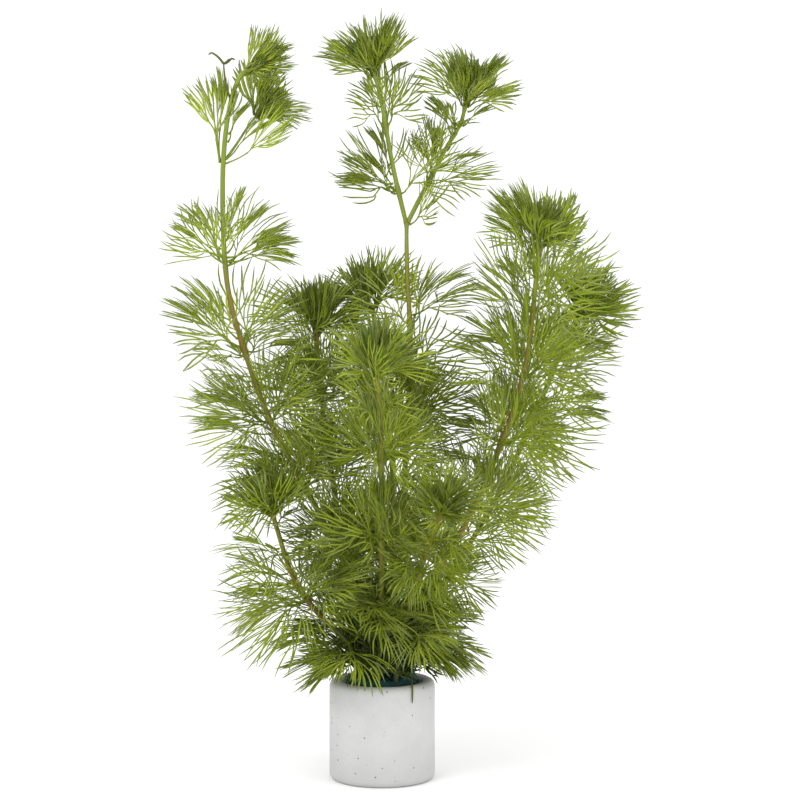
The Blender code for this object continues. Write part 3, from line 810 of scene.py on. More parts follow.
# Single leaves where the bunch has one more, by stem: the height in mm, which way the leaf points (0 to
# the right, 90 to the back, 180 to the left) and how steeply, the stalk and the threads in mm, and the
# spread of the fan. Angles are in degrees.
SINGLE_LEAVES = {
    "left_tall": (
        (106, 176, 30, 6, 16, 65), (106, 172, 30, 8, 16, 80), (104, -60, 20, 4, 13, 90),
        (108, 174, 44, 6, 16, 60), (101, -30, 10, 3, 8, 100), (103, 180, 30, 1, 6, 110),
        (104, 178, 14, 4, 10, 80), (105, 0, 6, 4, 10, 80), (90, 175, 12, 5, 15, 85),
        (88, -140, 12, 4, 10, 90), (108, 20, 30, 5, 12, 80), (104, -150, -6, 3, 7, 95),
        (90, -120, 20, 3, 9, 100), (85, 180, 2, 6, 15, 75), (108, 5, 14, 5, 12, 85),
        (92, 172, 8, 5, 13, 85), (88, -150, 5, 6, 14, 80), (80, -170, 6, 4, 12, 80),
        (128, 2, 14, 5, 15, 90), (127, 10, 30, 5, 15, 85), (126, -20, 22, 6, 15, 60),
        (128, -175, 58, 4, 12, 70), (127, 178, 34, 5, 12, 70), (127, 0, 8, 6, 13, 70),
        (129, 8, 50, 4, 13, 80), (130, -170, 40, 4, 12, 80), (132, 30, 68, 4, 11, 60),
        (151.5, 180, 81, 8.4, 13, 55), (151.5, 178, 86, 8.4, 15, 35), (156, 0, 60, 3, 8, 60),
        (158, 10, 50, 3, 8, 70), (172, -10, 26, 3, 10, 60), (172.5, 0, 33, 3, 12, 60),
        (152, -5, 40, 5, 12, 70),
    ),
    "low_left": (
        (52, 178, 0, 5, 13, 85), (50, -150, -6, 5, 12, 80), (50, 165, 22, 6, 13, 90),
        (48, -100, 10, 4, 12, 90), (36, 178, -12, 5, 13, 90), (38, 178, -10, 5, 12, 80),
        (58, 180, 10, 4, 9, 90), (56, -90, 10, 3, 9, 100), (62, 15, 5, 3, 8, 80), (60, 40, 0, 2, 6, 85),
        (63, -90, 10, 3, 8, 80), (33, 178, -20, 3, 12, 85), (31, -160, -12, 3, 9, 80),
        (32, -165, -34, 4, 11, 80), (31, -170, -30, 5, 12, 70), (33, -175, -18, 6, 13, 70),
        (64, 60, 20, 2, 8, 80),
    ),
    "mid_left": (
        (108, 60, 66, 3, 13, 70),
    ),
    "back_centre": (
        (114, 150, 62, 3, 13, 70), (114, 20, 66, 3, 13, 60),
    ),
    "centre_tall": (
        (116, 0, 34, 5, 15, 85), (114, -30, 22, 6, 16, 90), (113, 0, 60, 3, 12, 70),
    ),
    "centre_tall_left_branch": (
        (146, 178, 5, 4, 10, 85), (144.5, -170, 30, 4, 13, 85), (144, 176, 14, 4, 12, 90),
        (144, -160, 46, 3, 12, 70), (145, -178, 20, 4, 13, 90), (148, 170, 60, 3, 11, 70),
        (163, 175, 52, 3, 7, 70), (169, 5, 42, 3, 7, 70), (171, 0, 30, 3, 5, 75),
        (171.5, 165, 40, 3, 12, 55), (171.5, 172, 24, 3, 13, 50), (171.5, 8, 66, 2, 15, 45),
        (171.5, 20, 76, 2, 14, 45),
    ),
    "centre_tall_right_branch": (
        (164.5, 0, 62, 2, 13, 60), (164.5, 10, 52, 2, 15, 50), (163.5, -5, 22, 3, 12, 60),
        (158, 150, 52, 3, 9, 65), (160, 178, 40, 3, 8, 90), (160, -8, 34, 3, 7, 90),
        (158, -90, 30, 3, 9, 110), (154, -20, 50, 3, 7, 80), (150, -10, 20, 3, 9, 80),
        (148, 120, 70, 2, 10, 70), (152, 120, 60, 3, 9, 60),
    ),
    "right_main": (
        (129, 180, 48, 3, 15, 70), (129, 150, 78, 2, 15, 50), (128, 175, 40, 3, 15, 70),
        (130, 175, 52, 3, 17, 50), (130, 165, 60, 2, 16, 60), (130, 160, 74, 2, 16, 50),
        (118, 165, 50, 3, 11, 70), (116, 170, 44, 4, 13, 85), (112, 150, 60, 3, 9, 80),
        (112, 178, 40, 5, 14, 85), (104, 178, 24, 5, 15, 90), (106, 172, 10, 4, 13, 85),
        (102, -160, 10, 6, 14, 90), (88, 178, 26, 4, 10, 80), (86, 178, 14, 3, 8, 90),
        (84, 165, 4, 3, 10, 80), (96, -178, 8, 5, 13, 80), (84, 175, 18, 5, 10, 85),
        (78, -175, 12, 3, 10, 80), (40, 5, 4, 5, 14, 80), (37, -8, -14, 5, 14, 85),
        (35, -25, -28, 5, 13, 80), (36, -12, -26, 6, 13, 80), (36, -5, -20, 7, 14, 70),
        (35, -30, -34, 4, 12, 70), (35, -20, -30, 6, 11, 70),
    ),
    "far_right": (
        (112, 20, 64, 4, 14, 60), (108, -5, 34, 6, 10, 75), (106, 0, 4, 6, 7, 70),
        (104, -10, 6, 5, 9, 75), (92, 2, 4, 7, 10, 60), (86, 178, 20, 3, 9, 80), (90, 4, -2, 6, 13, 75),
        (88, -6, 2, 5, 13, 85),
    ),
}
chance = np.random.default_rng(33)
single_chance = np.random.default_rng(5)
print(sum(map(len, SINGLE_LEAVES.values())), "single leaves in the table")

# %% [markdown]
# ## Turning and fitting leaves
# A new leaf is mostly a copy of one that the CAD model has, turned round the stem and raised or lowered.
# Leaves between the others get lower and higher layers where the bunch is crowded. A crown, where the
# stem still grows, gets rings inside the outer one, each steeper and narrower. A leaf whose tips would
# leave the CAD model's box or enter the cup is shortened step by step, and dropped if that isn't enough.

# %% Turning and fitting leaves
TIP_SHARES = (-0.5, -0.25, 0.0, 0.25, 0.5)
cup_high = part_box("pot")[1]


def drawn_in(leaf, kept):
    """The leaf with a shorter stalk and threads as much longer, so that its tips stay where they are."""
    hub = leaf["root"] + (leaf["hub"] - leaf["root"]) * kept
    return dict(leaf, hub=hub, reach=leaf["reach"] + (leaf["hub"] - hub).length)


def steepness(leaf, axis):
    return math.asin(max(-1.0, min(1.0, leaf["along"].dot(axis))))


def carried(leaf, start, end, turn, root_turn, size):
    """A copy of a leaf, turned about one point and set at another, and made smaller."""
    made = dict(leaf, reach=leaf["reach"] * size)
    for key in ("along", "side", "up"):
        made[key] = turn @ leaf[key]
    made["hub"] = end + (turn @ (leaf["hub"] - start)) * size
    made["root"] = end + root_turn @ (leaf["root"] - start)
    return made


def turned(leaf, whorl, round_axis, rise, size=1.0, narrow=1.0):
    """A copy of a leaf turned round its stem, raised towards it and made smaller."""
    around = Quaternion(whorl["axis"], round_axis)
    outward = around @ (leaf["hub"] - whorl["centre"])
    tangent = outward.cross(whorl["axis"]).normalized()
    turn = Quaternion(tangent, rise) @ around
    made = carried(leaf, whorl["centre"], whorl["centre"], turn, around, size)
    return dict(made, spread=leaf["spread"] * narrow)


def tips_of(leaf):
    """Both edges and the middle of a fan at full reach."""
    found = []
    for share in TIP_SHARES:
        angle = share * leaf["spread"]
        ray = leaf["along"] * math.cos(angle) + leaf["side"] * math.sin(angle)
        found.append(leaf["hub"] + ray * leaf["reach"])
    return found


def outside(tip):
    """Whether a tip is too far past the CAD model's box."""
    past = [max(cad_low[i] - tip[i], tip[i] - cad_high[i]) - BOX_MARGINS[i] for i in range(3)]
    return max(past) > 0


def in_cup(tip):
    in_front = abs(tip.x) < cup_high.x and tip.y < 0
    beside = in_front or math.hypot(tip.x, tip.y) < cup_high.x + CUP_CLEARANCE
    return beside and tip.z < cup_high.z + CUP_CLEARANCE


def fitted(leaf):
    """The leaf, shortened where its tips would leave the box or enter the cup."""
    for _ in range(FIT_TRIES):
        tips = tips_of(leaf)
        if not any(map(outside, tips)) and not any(map(in_cup, tips)):
            return leaf
        leaf = dict(leaf, reach=leaf["reach"] * FIT_STEP)
    return None


def fitting(leaves):
    return [leaf for leaf in map(fitted, leaves) if leaf]


def between_leaves(whorl, crowded):
    """Leaves between those of a whorl, lower and higher ones in a crowded place."""
    leaves = whorl["leaves"]
    step = math.pi / max(len(leaves), 2)
    layers = CROWDED_LAYERS if crowded else PLAIN_LAYERS
    if len(leaves) < 3 and whorl["name"] not in LONG_STALKED:
        layers += (LAYER_OF_A_PAIR,)
    if whorl["name"] in UNFILLED:
        layers = ()
    for shift, rise, size in layers:
        for leaf in leaves:
            jitter = chance.uniform(-LAYER_TURN, LAYER_TURN)
            tilt = math.radians(rise + chance.uniform(-LAYER_TILT, LAYER_TILT))
            yield turned(leaf, whorl, step * shift + jitter, tilt, size * chance.uniform(*LAYER_SIZES))


def young_leaves(whorl):
    """The inner leaves of a crown, each ring closer to upright, in loose tufts."""
    for shift, share, size, narrow in YOUNG_RINGS:
        for leaf in whorl["leaves"]:
            upright = STEEPEST - steepness(leaf, whorl["axis"])
            tilt = share * upright + math.radians(chance.uniform(-YOUNG_TILT, YOUNG_TILT))
            jitter = chance.uniform(-YOUNG_TURN, YOUNG_TURN)
            made = turned(leaf, whorl, shift + jitter, tilt, size * chance.uniform(*YOUNG_SIZES), narrow)
            # Painted shade darkens the inner rings of a crown, the more the nearer upright they stand.
            yield dict(made, dulled=YOUNG_PAINTED_SHADE * share)


rises = [math.degrees(steepness(leaf, whorl["axis"])) for whorl in whorls for leaf in whorl["leaves"]]
print("CAD leaves rise", round(min(rises)), "to", round(max(rises)), "degrees from level")

# %% [markdown]
# ## Whorls between the others, and single leaves
# A cut through the stem's solid gives its middle at any height. A whorl is copied there, turned to the
# direction of the stem and given a twist of its own. Just above the foam, small steep whorls close the
# foot of the bunch. A single leaf needs no whorl: its direction and sizes are in the table.


# %% Whorls between the others, and single leaves
AXIS_STEP = 2 * MM
SINGLE_CUP = 0.2


def stem_middle(solid, height):
    """The middle of a stem at one height, from the edges that cross it."""
    found = []
    for edge in solid.edges:
        low, high = sorted((vert.co for vert in edge.verts), key=lambda point: point.z)
        if low.z <= height < high.z:
            found.append(low.lerp(high, (height - low.z) / (high.z - low.z)))
    return sum(found, Vector()) / len(found) if found else None


def moved_whorl(whorl, centre, axis, size, twist):
    """A whorl like this one, somewhere else on its stem."""
    turn = axis.rotation_difference(whorl["axis"]).inverted()
    turn = Quaternion(axis, twist) @ turn
    leaves = [carried(leaf, whorl["centre"], centre, turn, turn, size) for leaf in whorl["leaves"]]
    return {"name": whorl["name"], "centre": centre, "axis": axis, "leaves": leaves}


def stem_of(whorl):
    return "stem_" + whorl["name"].split("_", 1)[1].rstrip("0123456789").rstrip("_")


def whorls_between(stem_name, own):
    """A whorl about half way between each two that are far apart, and steep ones at the foot, darkened
    by painted shade.
    """
    solid = welded(stem_name)
    own = sorted(own, key=lambda whorl: whorl["centre"].z)
    share, size, raised, dulled = BETWEEN
    places = []
    for low, high in zip(own, own[1:]):
        gap = high["centre"].z - low["centre"].z
        if gap > FAR_APART:
            places.append((low["centre"].z + gap * share, low, size, raised, dulled))
    if min(vert.co.z for vert in solid.verts) < cup_high.z:
        places += [(height * MM, own[0], *sizes) for height, *sizes in FOOT_WHORLS]
    for height, like, size, raised, dulled in places:
        centre = stem_middle(solid, height)
        above = stem_middle(solid, height + AXIS_STEP)
        if (height < CROWDED_BELOW or stem_name in FILLED_BETWEEN) and centre and above:
            axis = (above - centre).normalized()
            made = moved_whorl(like, centre, axis, size, chance.uniform(*WHORL_TWISTS))
            rises = [raised + chance.uniform(-WHORL_TILT, WHORL_TILT) for _ in made["leaves"]]
            leaves = [dict(turned(leaf, made, 0.0, rise), dulled=dulled, threads=PLAIN_THREADS)
                      for leaf, rise in zip(made["leaves"], rises)]
            yield dict(made, leaves=leaves)
    solid.free()


def single_leaf(root, way, rise, stalk, reach, spread):
    """One leaf on the middle of a stem, from its direction and its sizes."""
    way, rise = math.radians(way), math.radians(rise)
    level = Vector((math.cos(way), math.sin(way), 0))
    along = level * math.cos(rise) + Vector((0, 0, math.sin(rise)))
    side = Vector((-math.sin(way), math.cos(way), 0))
    return {
        "hub": root + along * stalk * MM,
        "root": root + level * STEM_SURFACE,
        "along": along,
        "side": side,
        "up": along.cross(side),
        "reach": reach * MM,
        "cup": SINGLE_CUP,
        "spread": math.radians(spread),
    }


stem_whorls = {name: [whorl for whorl in whorls if stem_of(whorl) == name] for name in stem_nodes}
more_whorls = {}
for stem_name, own in stem_whorls.items():
    for whorl in whorls_between(stem_name, own):
        more_whorls.setdefault(whorl["name"], []).append(whorl)

single_leaves = {}
for stem_name, rows in SINGLE_LEAVES.items():
    solid = welded("stem_" + stem_name)
    for height, *sizes in rows:
        own = stem_whorls["stem_" + stem_name]
        nearest = min(own, key=lambda whorl: abs(whorl["centre"].z - height * MM))
        leaf = single_leaf(stem_middle(solid, height * MM), *sizes)
        single_leaves.setdefault(nearest["name"], []).append(leaf)
    solid.free()
print(sum(map(len, more_whorls.values())), "whorls between the others")

# %% [markdown]
# ## Growing all the leaves
# Each leaf gets what makes it an individual: its number of threads, its age and painted shade, a
# sideways bend, a droop and how stout it is. Leaves inside and low in the bunch are darker than those
# outside, partly because they are older and partly by painted shade. Then each whorl's leaves become
# points with attributes, and the fan tree grows them into one mesh.


# %% Growing all the leaves
THREAD_WIDTH, STALK_WIDTH = 0.44 * MM, 0.75 * MM
BUNCH_MIDDLE_X, BUNCH_RADIUS, BUNCH_HEIGHT = 4 * MM, 25 * MM, 120 * MM
YOUNGEST, INSIDE_AGE_AND_SHADE, LOW_AGE_AND_SHADE, GROWN_AGE = 0.2, 0.4, 0.12, 0.08
AGE_SPREAD = 0.16
MOST_BEND = 0.2
DROOPS_BELOW, DROOPS_PAST = 70 * MM, 12 * MM
DROOP, LOW_DROOP = 0.09, 0.3
STOUT = (0.85, 1.15)
STOUT_SHARE, STOUTER = 0.2, 1.4


def age_of(leaf, crown, draws):
    """Darker low down and inside the bunch by age and painted shade, young and bright at the crowns and
    the outside.
    """
    inside = 1 - min(1.0, math.hypot(leaf["hub"].x - BUNCH_MIDDLE_X, leaf["hub"].y) / BUNCH_RADIUS)
    low = 1 - min(1.0, leaf["hub"].z / BUNCH_HEIGHT)
    # Painted shade: the inside and low terms darken leaves where the bunch shades them, besides their
    # age.
    age = YOUNGEST + INSIDE_AGE_AND_SHADE * inside + LOW_AGE_AND_SHADE * low + (0.0 if crown else GROWN_AGE)
    return float(np.clip(draws.normal(age, AGE_SPREAD), 0, 1))


def grown_leaf(leaf, crown, draws=chance):
    """The leaf with what makes it an individual: its threads, age and painted shade, bend and droop."""
    own = {"dulled": 0.0, "threads": int(draws.integers(*LEAST_AND_MOST_THREADS)), **leaf}
    level = 1 - abs(leaf["along"].z)
    low = max(0.0, 1 - leaf["hub"].z / DROOPS_BELOW)
    outer = float(np.clip(math.hypot(leaf["hub"].x, leaf["hub"].y) / DROOPS_PAST - 1, 0, 1))
    own["age"] = age_of(leaf, crown, draws)
    own["bend"] = draws.uniform(-MOST_BEND, MOST_BEND)
    own["droop"] = level * (draws.uniform(0.0, DROOP) + LOW_DROOP * low * outer)
    own["stout"] = draws.uniform(*STOUT) * (STOUTER if crown and draws.random() < STOUT_SHARE else 1.0)
    return own


def leaves_of(whorl):
    """All leaves of one whorl."""
    crown = whorl["name"].startswith("crown_")
    crowded = whorl["centre"].z < CROWDED_BELOW and whorl["name"] not in SPARSE
    kept, widen = (CROWN_STALK_KEPT, CROWN_WIDEN) if crown else (STALK_KEPT, WIDEN)
    if whorl["name"] in LONG_STALKED:
        kept = LONG_STALK_KEPT
    further = REACH_SHARES.get(whorl["name"], 1.0)
    made = [dict(leaf, spread=leaf["spread"] * widen) for leaf in whorl["leaves"]]
    made += list(young_leaves(whorl) if crown else between_leaves(whorl, crowded))
    made = [dict(leaf, reach=leaf["reach"] * further) for leaf in made]
    made = fitting([drawn_in(leaf, kept) for leaf in made])
    return [grown_leaf(leaf, crown) for leaf in made]


ATTRIBUTES = (
    ("FLOAT_VECTOR", "vector", ("hub", "root", "along", "side", "up")),
    ("FLOAT", "value", ("reach", "cup", "spread", "age", "bend", "droop", "stout", "dulled")),
    ("INT", "value", ("threads", "leaf")),
)


def points_of(leaves, name, first_number):
    """One point for each leaf, with the leaf's directions and sizes as attributes."""
    leaves = [dict(leaf, leaf=first_number + i) for i, leaf in enumerate(leaves)]
    mesh = new_mesh(name, [leaf["hub"] for leaf in leaves])
    for kind, field, keys in ATTRIBUTES:
        for key in keys:
            values = np.array([leaf[key] for leaf in leaves]).ravel()
            mesh.attributes.new(key, kind, "POINT").data.foreach_set(field, values)
    return mesh


KEPT_ATTRIBUTES = ("position", "material_index", "out", "age", "thread_tint", "dulled")


def trimmed(piece):
    """The piece without the attributes that only its making needed."""
    attributes = piece.data.attributes
    numbers = [item.name for item in attributes if item.data_type in ("FLOAT", "FLOAT_VECTOR", "INT")]
    for name in numbers:
        if name not in KEPT_ATTRIBUTES and not name.startswith("."):
            attributes.remove(attributes[name])
    return piece


leaf_pieces = {}
leaf_count = 0
for whorl in whorls:
    leaves = leaves_of(whorl)
    for other in more_whorls.get(whorl["name"], []):
        added = fitting([drawn_in(leaf, STALK_KEPT) for leaf in other["leaves"]])
        leaves += [grown_leaf(leaf, False) for leaf in added]
    added = fitting(single_leaves.get(whorl["name"], []))
    leaves += [grown_leaf(leaf, False, single_chance) for leaf in added]
    points = points_of(leaves, whorl["name"] + "_points", leaf_count)
    name = whorl["name"].replace("leaves_", "fans_").replace("crown_", "tuft_")
    values = {"Thread Width": THREAD_WIDTH, "Stalk Width": STALK_WIDTH, "Material": leaf_material}
    leaf_pieces[whorl["name"]] = trimmed(grown(name, points, forking_fans, values))
    leaf_count += len(leaves)
leaf_triangles = [triangle_count(piece) for piece in leaf_pieces.values()]
print(leaf_count, "leaves,", sum(leaf_triangles), "triangles, the fullest whorl", max(leaf_triangles))

# %% [markdown]
# ## Stems
# The CAD stems are plain tubes along the right paths. A real stem is rounder, swells where leaves grow
# from it, and has fine ribs. A copy of each tube is subdivided and pushed out near the middles of the
# whorls. Proximity is the node for that: it measures how far each point is from the nearest whorl.

# %% Stems
BRANCHES = ("stem_left_tall_side_shoot", "stem_centre_tall_left_branch", "stem_centre_tall_right_branch")
THINNER = "stem_left_tall_side_shoot"
THINNER_VALUES = {"Fuller": -0.14 * MM, "Swelling": 0.1 * MM}
FOOT_LENGTH = 1.0 * MM
RIB_STRETCH = (1.0, 1.0, 0.06)
STREAK_STRETCH = (1.0, 1.0, 0.08)
# Heights in metres that a stem's colour changes between: it browns between the first two, and painted
# shade darkens it towards the foam between the last two.
BROWNS_BELOW, BROWN_AT = 0.15, 0.11
PAINTED_SHADE_BELOW, PAINTED_SHADE_DARKEST_AT = 0.05, 0.032
STEM_TAKES = {
    "Tube": "Geometry", "Whorls": "Object", "Roundness": 2, "Fuller": 0.0001, "Swelling": 0.00035,
    "Swelling Length": 0.0016, "Ribs": 0.00008, "Material": "Material",
}


@node_group("stem with swollen nodes", "Geometry", STEM_TAKES, {"Stem": "Geometry"})
def swollen_stem(wires, takes):
    feeds = {"Mesh": takes["Tube"], "Level": takes["Roundness"]}
    fine = wires.out("GeometryNodeSubdivisionSurface", feeds)
    spots = wires.node("GeometryNodeObjectInfo", {"Object": takes["Whorls"]})
    near = wires.node("GeometryNodeProximity", target_element="POINTS")
    wires.feed(near.inputs[0], spots.outputs["Geometry"])
    distance = near.outputs["Distance"]
    close = wires.ramp(distance, takes["Swelling Length"], 0.0, interpolation_type="SMOOTHSTEP")
    stretched = wires.vector("MULTIPLY", wires.out("GeometryNodeInputPosition"), RIB_STRETCH)
    rib = (wires.noise(stretched, 1500.0) - 0.5) * takes["Ribs"]
    swell = close * takes["Swelling"] + takes["Fuller"]
    push = wires.out("GeometryNodeInputNormal") * (swell + rib)
    shaped = wires.store(wires.moved(fine, Offset=push), "near_node", close)
    return wires.finished(shaped, takes["Material"])


def stem_skin():
    """Yellow green above and rusty lower down, brown at the nodes, with fine streaks along the stem, and
    darkened by painted shade near the foam.
    """
    material, wires, shader, place = new_material("stem_skin")
    stretched = wires.out("ShaderNodeMapping", {"Vector": place, "Scale": STREAK_STRETCH})
    streaks = mottled(wires, stretched, 500.0, 3000.0)
    ripe = wires.ramp(wires.noise(place, 38.0, 1.0), 0.36, 0.6)
    height = wires.out("ShaderNodeSeparateXYZ", {"Vector": place}, output="Z")
    body = painted(
        wires,
        mixed(wires, streaks["Mask"], linear(102, 122, 22), linear(134, 150, 50)),
        (ripe * wires.ramp(height, BROWNS_BELOW, BROWN_AT), 1.0, (124, 102, 30)),
        (attribute(wires, "near_node"), 0.6, (108, 78, 28)),
        # Painted shade: the stem darkens towards the foam.
        (wires.ramp(height, PAINTED_SHADE_BELOW, PAINTED_SHADE_DARKEST_AT), 0.88, (44, 54, 20)),
    )
    finished(wires, shader, body, streaks["Fine"] * 0.2 + 0.38, streaks["Mask"], 0.3)
    return material


def joined_to_fork(solid, node_name):
    """Draws the foot of a branch down into the whorl where its parent stem forks."""
    foot_z = min(vert.co.z for vert in solid.verts)
    foot = [vert for vert in solid.verts if vert.co.z < foot_z + FOOT_LENGTH]
    middle = sum((vert.co for vert in foot), Vector()) / len(foot)
    others = [whorl["centre"] for whorl in whorls if stem_of(whorl) != node_name]
    fork = min(others, key=lambda centre: (centre - middle).length)
    for vert in foot:
        vert.co += fork - middle
    print(node_name, "reaches", round((fork - middle).length / MM, 1), "mm down to its fork")


def tube_of(node_name):
    """A copy of a CAD stem with its triangles joined into quads, ready to subdivide."""
    solid = welded(node_name)
    if node_name in BRANCHES:
        joined_to_fork(solid, node_name)
    bmesh.ops.join_triangles(
        solid, faces=solid.faces, angle_face_threshold=0.6, angle_shape_threshold=1.2
    )
    return mesh_of(solid, node_name + "_tube")


spots = placed("whorl_middles", new_mesh("whorl_middles", [whorl["centre"] for whorl in whorls]))
stem_values = {"Whorls": spots, "Material": stem_skin()}
stem_pieces = {}
for name in stem_nodes:
    values = {**stem_values, **(THINNER_VALUES if name == THINNER else {})}
    stem_pieces[name] = grown(name + "_skin", tube_of(name), swollen_stem, values)
bpy.data.objects.remove(spots)
print(len(stem_pieces), "stems,", sum(map(triangle_count, stem_pieces.values())), "triangles")

# %% [markdown]
# ## Loose strands
# Two small things belong to no whorl. A dead young leaf stands beside the tallest left stem, browned and
# curled into hooks, and one loose thread hangs over the rim of the cup. Each is a few routes, smoothed
# into curves and swept with a round section that thins towards the end.

# %% Loose strands
# Routes in mm.
DEAD_LEAF = (
    ((-36.7, 1.8, 166.0), (-37.5, 1.4, 168.8), (-38.1, 1.2, 171.8), (-38.35, 1.1, 175.0)),
    ((-38.35, 1.1, 174.9), (-39.35, 1.0, 176.2), (-40.4, 0.9, 177.1), (-41.3, 0.8, 177.5),
     (-42.0, 0.8, 177.0)),
    ((-38.35, 1.1, 174.9), (-37.65, 1.0, 175.3), (-36.95, 0.8, 176.1)),
    ((-38.05, 1.1, 174.9), (-37.15, 1.3, 175.5), (-36.35, 1.4, 176.2), (-35.6, 1.4, 175.8)),
)
RIM_THREAD = (
    ((6.9, -5.6, 25.8), (7.2, -7.2, 25.6), (7.3, -8.6, 25.0), (7.35, -9.6, 24.8), (7.4, -10.3, 24.4),
     (7.42, -10.85, 23.6), (7.42, -11.1, 22.6), (7.4, -11.15, 21.6), (7.38, -11.12, 20.6)),
)
STRAND_SHAPE = ((0, 1.0), (0.6, 0.85), (0.95, 0.6), (1, 0.3))
STRAND_SIDES = 8
STRAND_TAKES = {"Routes": "Geometry", "Width": 0.0005, "Step": 0.0004, "Material": "Material"}


@node_group("strands", "Geometry", STRAND_TAKES, {"Strands": "Geometry"})
def strands(wires, takes):
    curves = wires.out("GeometryNodeMeshToCurve", {"Mesh": takes["Routes"]})
    smooth = wires.out("GeometryNodeCurveSplineType", {"Curve": curves}, spline_type="CATMULL_ROM")
    even = wires.node("GeometryNodeResampleCurve", mode="LENGTH")
    wires.feed(even.inputs["Curve"], smooth)
    wires.feed(even.inputs["Length"], takes["Step"])
    factor = wires.out("GeometryNodeSplineParameter", output="Factor")
    half_width = takes["Width"] * 0.5 * width_curve(wires, factor, STRAND_SHAPE)
    section = round_section(wires, STRAND_SIDES)
    strand = swept(wires, even.outputs["Curve"], section, half_width)
    return wires.finished(strand, takes["Material"])


def browned(name, pale, dark):
    """Dry plant matter: patchy from its pale colour to its dark one, and matt."""
    material, wires, shader, place = new_material(name)
    patches = mottled(wires, place, 420.0, 3200.0)
    body = mixed(wires, patches["Mask"], linear(*pale), linear(*dark))
    finished(wires, shader, body, patches["Fine"] * 0.2 + 0.65, patches["Fine"], 0.4)
    return material


def routes_mesh(name, routes):
    """Each route as a row of joined points."""
    points, edges = [], []
    for route in routes:
        first = len(points)
        points += [Vector(point) * MM for point in route]
        edges += [(i, i + 1) for i in range(first, len(points) - 1)]
    return new_mesh(name, points, edges)


dead_values = {"Width": 0.6 * MM, "Material": browned("dead_brown", (106, 112, 40), (52, 52, 24))}
rim_values = {"Material": browned("dry_olive", (92, 98, 26), (62, 66, 20))}
strand_pieces = [
    grown("dead_young_leaf", routes_mesh("dead_leaf_routes", DEAD_LEAF), strands, dead_values),
    grown("rim_thread", routes_mesh("rim_thread_route", RIM_THREAD), strands, rim_values),
]
print("strands:", [triangle_count(piece) for piece in strand_pieces], "triangles")

# %% [markdown]
# ## The cup
# The cup is cast or turned: its wall is the same all the way round, but a hand's unevenness shows in it.
# A profile of the half section is drawn once, and a grid is wrapped round the axis so that its rows
# follow the profile. Sample Curve finds each row's radius and height. A slow noise then makes the wall
# wander by a tenth of a millimetre.

# %% The cup
CUP_WALL = 3.5 * MM
CUP_FLOOR = 3.5 * MM
CUP_SIDES = 160
CUP_ROWS = 110
FOOT_ROUND, LIP_ROUND, INSIDE_ROUND = 1.3 * MM, 1.6 * MM, 1.0 * MM
STILL_BELOW = 0.003
JOINED_WITHIN = 0.002 * MM
# Heights in metres between which painted shade darkens the wall towards the foot.
PAINTED_FOOT_SHADE = (0.014, 0.002)


def quarter(centre_r, centre_z, radius, first, last, steps=6):
    """Points of a quarter round in the half section."""
    turns = np.radians(np.linspace(first, last, steps))
    return [(centre_r + radius * math.cos(a), 0.0, centre_z + radius * math.sin(a)) for a in turns]


def cup_profile():
    radius, height = cup_high.x, cup_high.z
    inner = radius - CUP_WALL
    points = [(0.0, 0.0, 0.0)]
    points += quarter(radius - FOOT_ROUND, FOOT_ROUND, FOOT_ROUND, -90, 0)
    points += quarter(radius - LIP_ROUND, height - LIP_ROUND, LIP_ROUND, 0, 90)
    points += quarter(inner + LIP_ROUND, height - LIP_ROUND, LIP_ROUND, 90, 180)
    points += quarter(inner - INSIDE_ROUND, CUP_FLOOR + INSIDE_ROUND, INSIDE_ROUND, 0, -90)
    points += [(0.0, 0.0, CUP_FLOOR)]
    return new_mesh("cup_profile", points, [(i, i + 1) for i in range(len(points) - 1)])


CUP_TAKES = {
    "Profile": "Geometry", "Sides": CUP_SIDES, "Rows": CUP_ROWS, "Unevenness": 0.0002,
    "Material": "Material",
}


@node_group("turned cup", "Geometry", CUP_TAKES, {"Cup": "Geometry"})
def turned_cup(wires, takes):
    feeds = {"Vertices X": takes["Sides"] + 1, "Vertices Y": takes["Rows"]}
    grid = wires.out("GeometryNodeMeshGrid", {"Size X": 1.0, "Size Y": 1.0, **feeds})
    place = wires.out("GeometryNodeInputPosition")
    spot = wires.values(wires.node("ShaderNodeSeparateXYZ", {"Vector": place}))
    angle = (spot["X"] + 0.5) * (-2 * math.pi)
    row = spot["Y"] + 0.5
    profile = wires.out("GeometryNodeMeshToCurve", {"Mesh": takes["Profile"]})
    sample = wires.node("GeometryNodeSampleCurve", mode="FACTOR", use_all_curves=True)
    wires.feed(sample.inputs["Curves"], profile)
    wires.feed(sample.inputs["Factor"], row)
    feeds = {"Vector": sample.outputs["Position"]}
    section = wires.values(wires.node("ShaderNodeSeparateXYZ", feeds))
    radius, height = section["X"], section["Z"]
    across = radius * wires.math("COSINE", angle)
    deep = radius * wires.math("SINE", angle)
    place = wires.out("ShaderNodeCombineXYZ", {"X": across, "Y": deep, "Z": height})
    drift = (wires.noise(place, 110.0) - 0.5) * takes["Unevenness"]
    wide = 1.0 + drift / cup_high.x
    lifted = drift * wires.ramp(height, 0.0, STILL_BELOW) + height
    feeds = {"X": across * wide, "Y": deep * wide, "Z": lifted}
    wrapped = wires.moved(grid, Position=wires.out("ShaderNodeCombineXYZ", feeds))
    feeds = {"Geometry": wrapped, "Distance": JOINED_WITHIN}
    closed = wires.out("GeometryNodeMergeByDistance", feeds)
    return wires.finished(closed, takes["Material"])


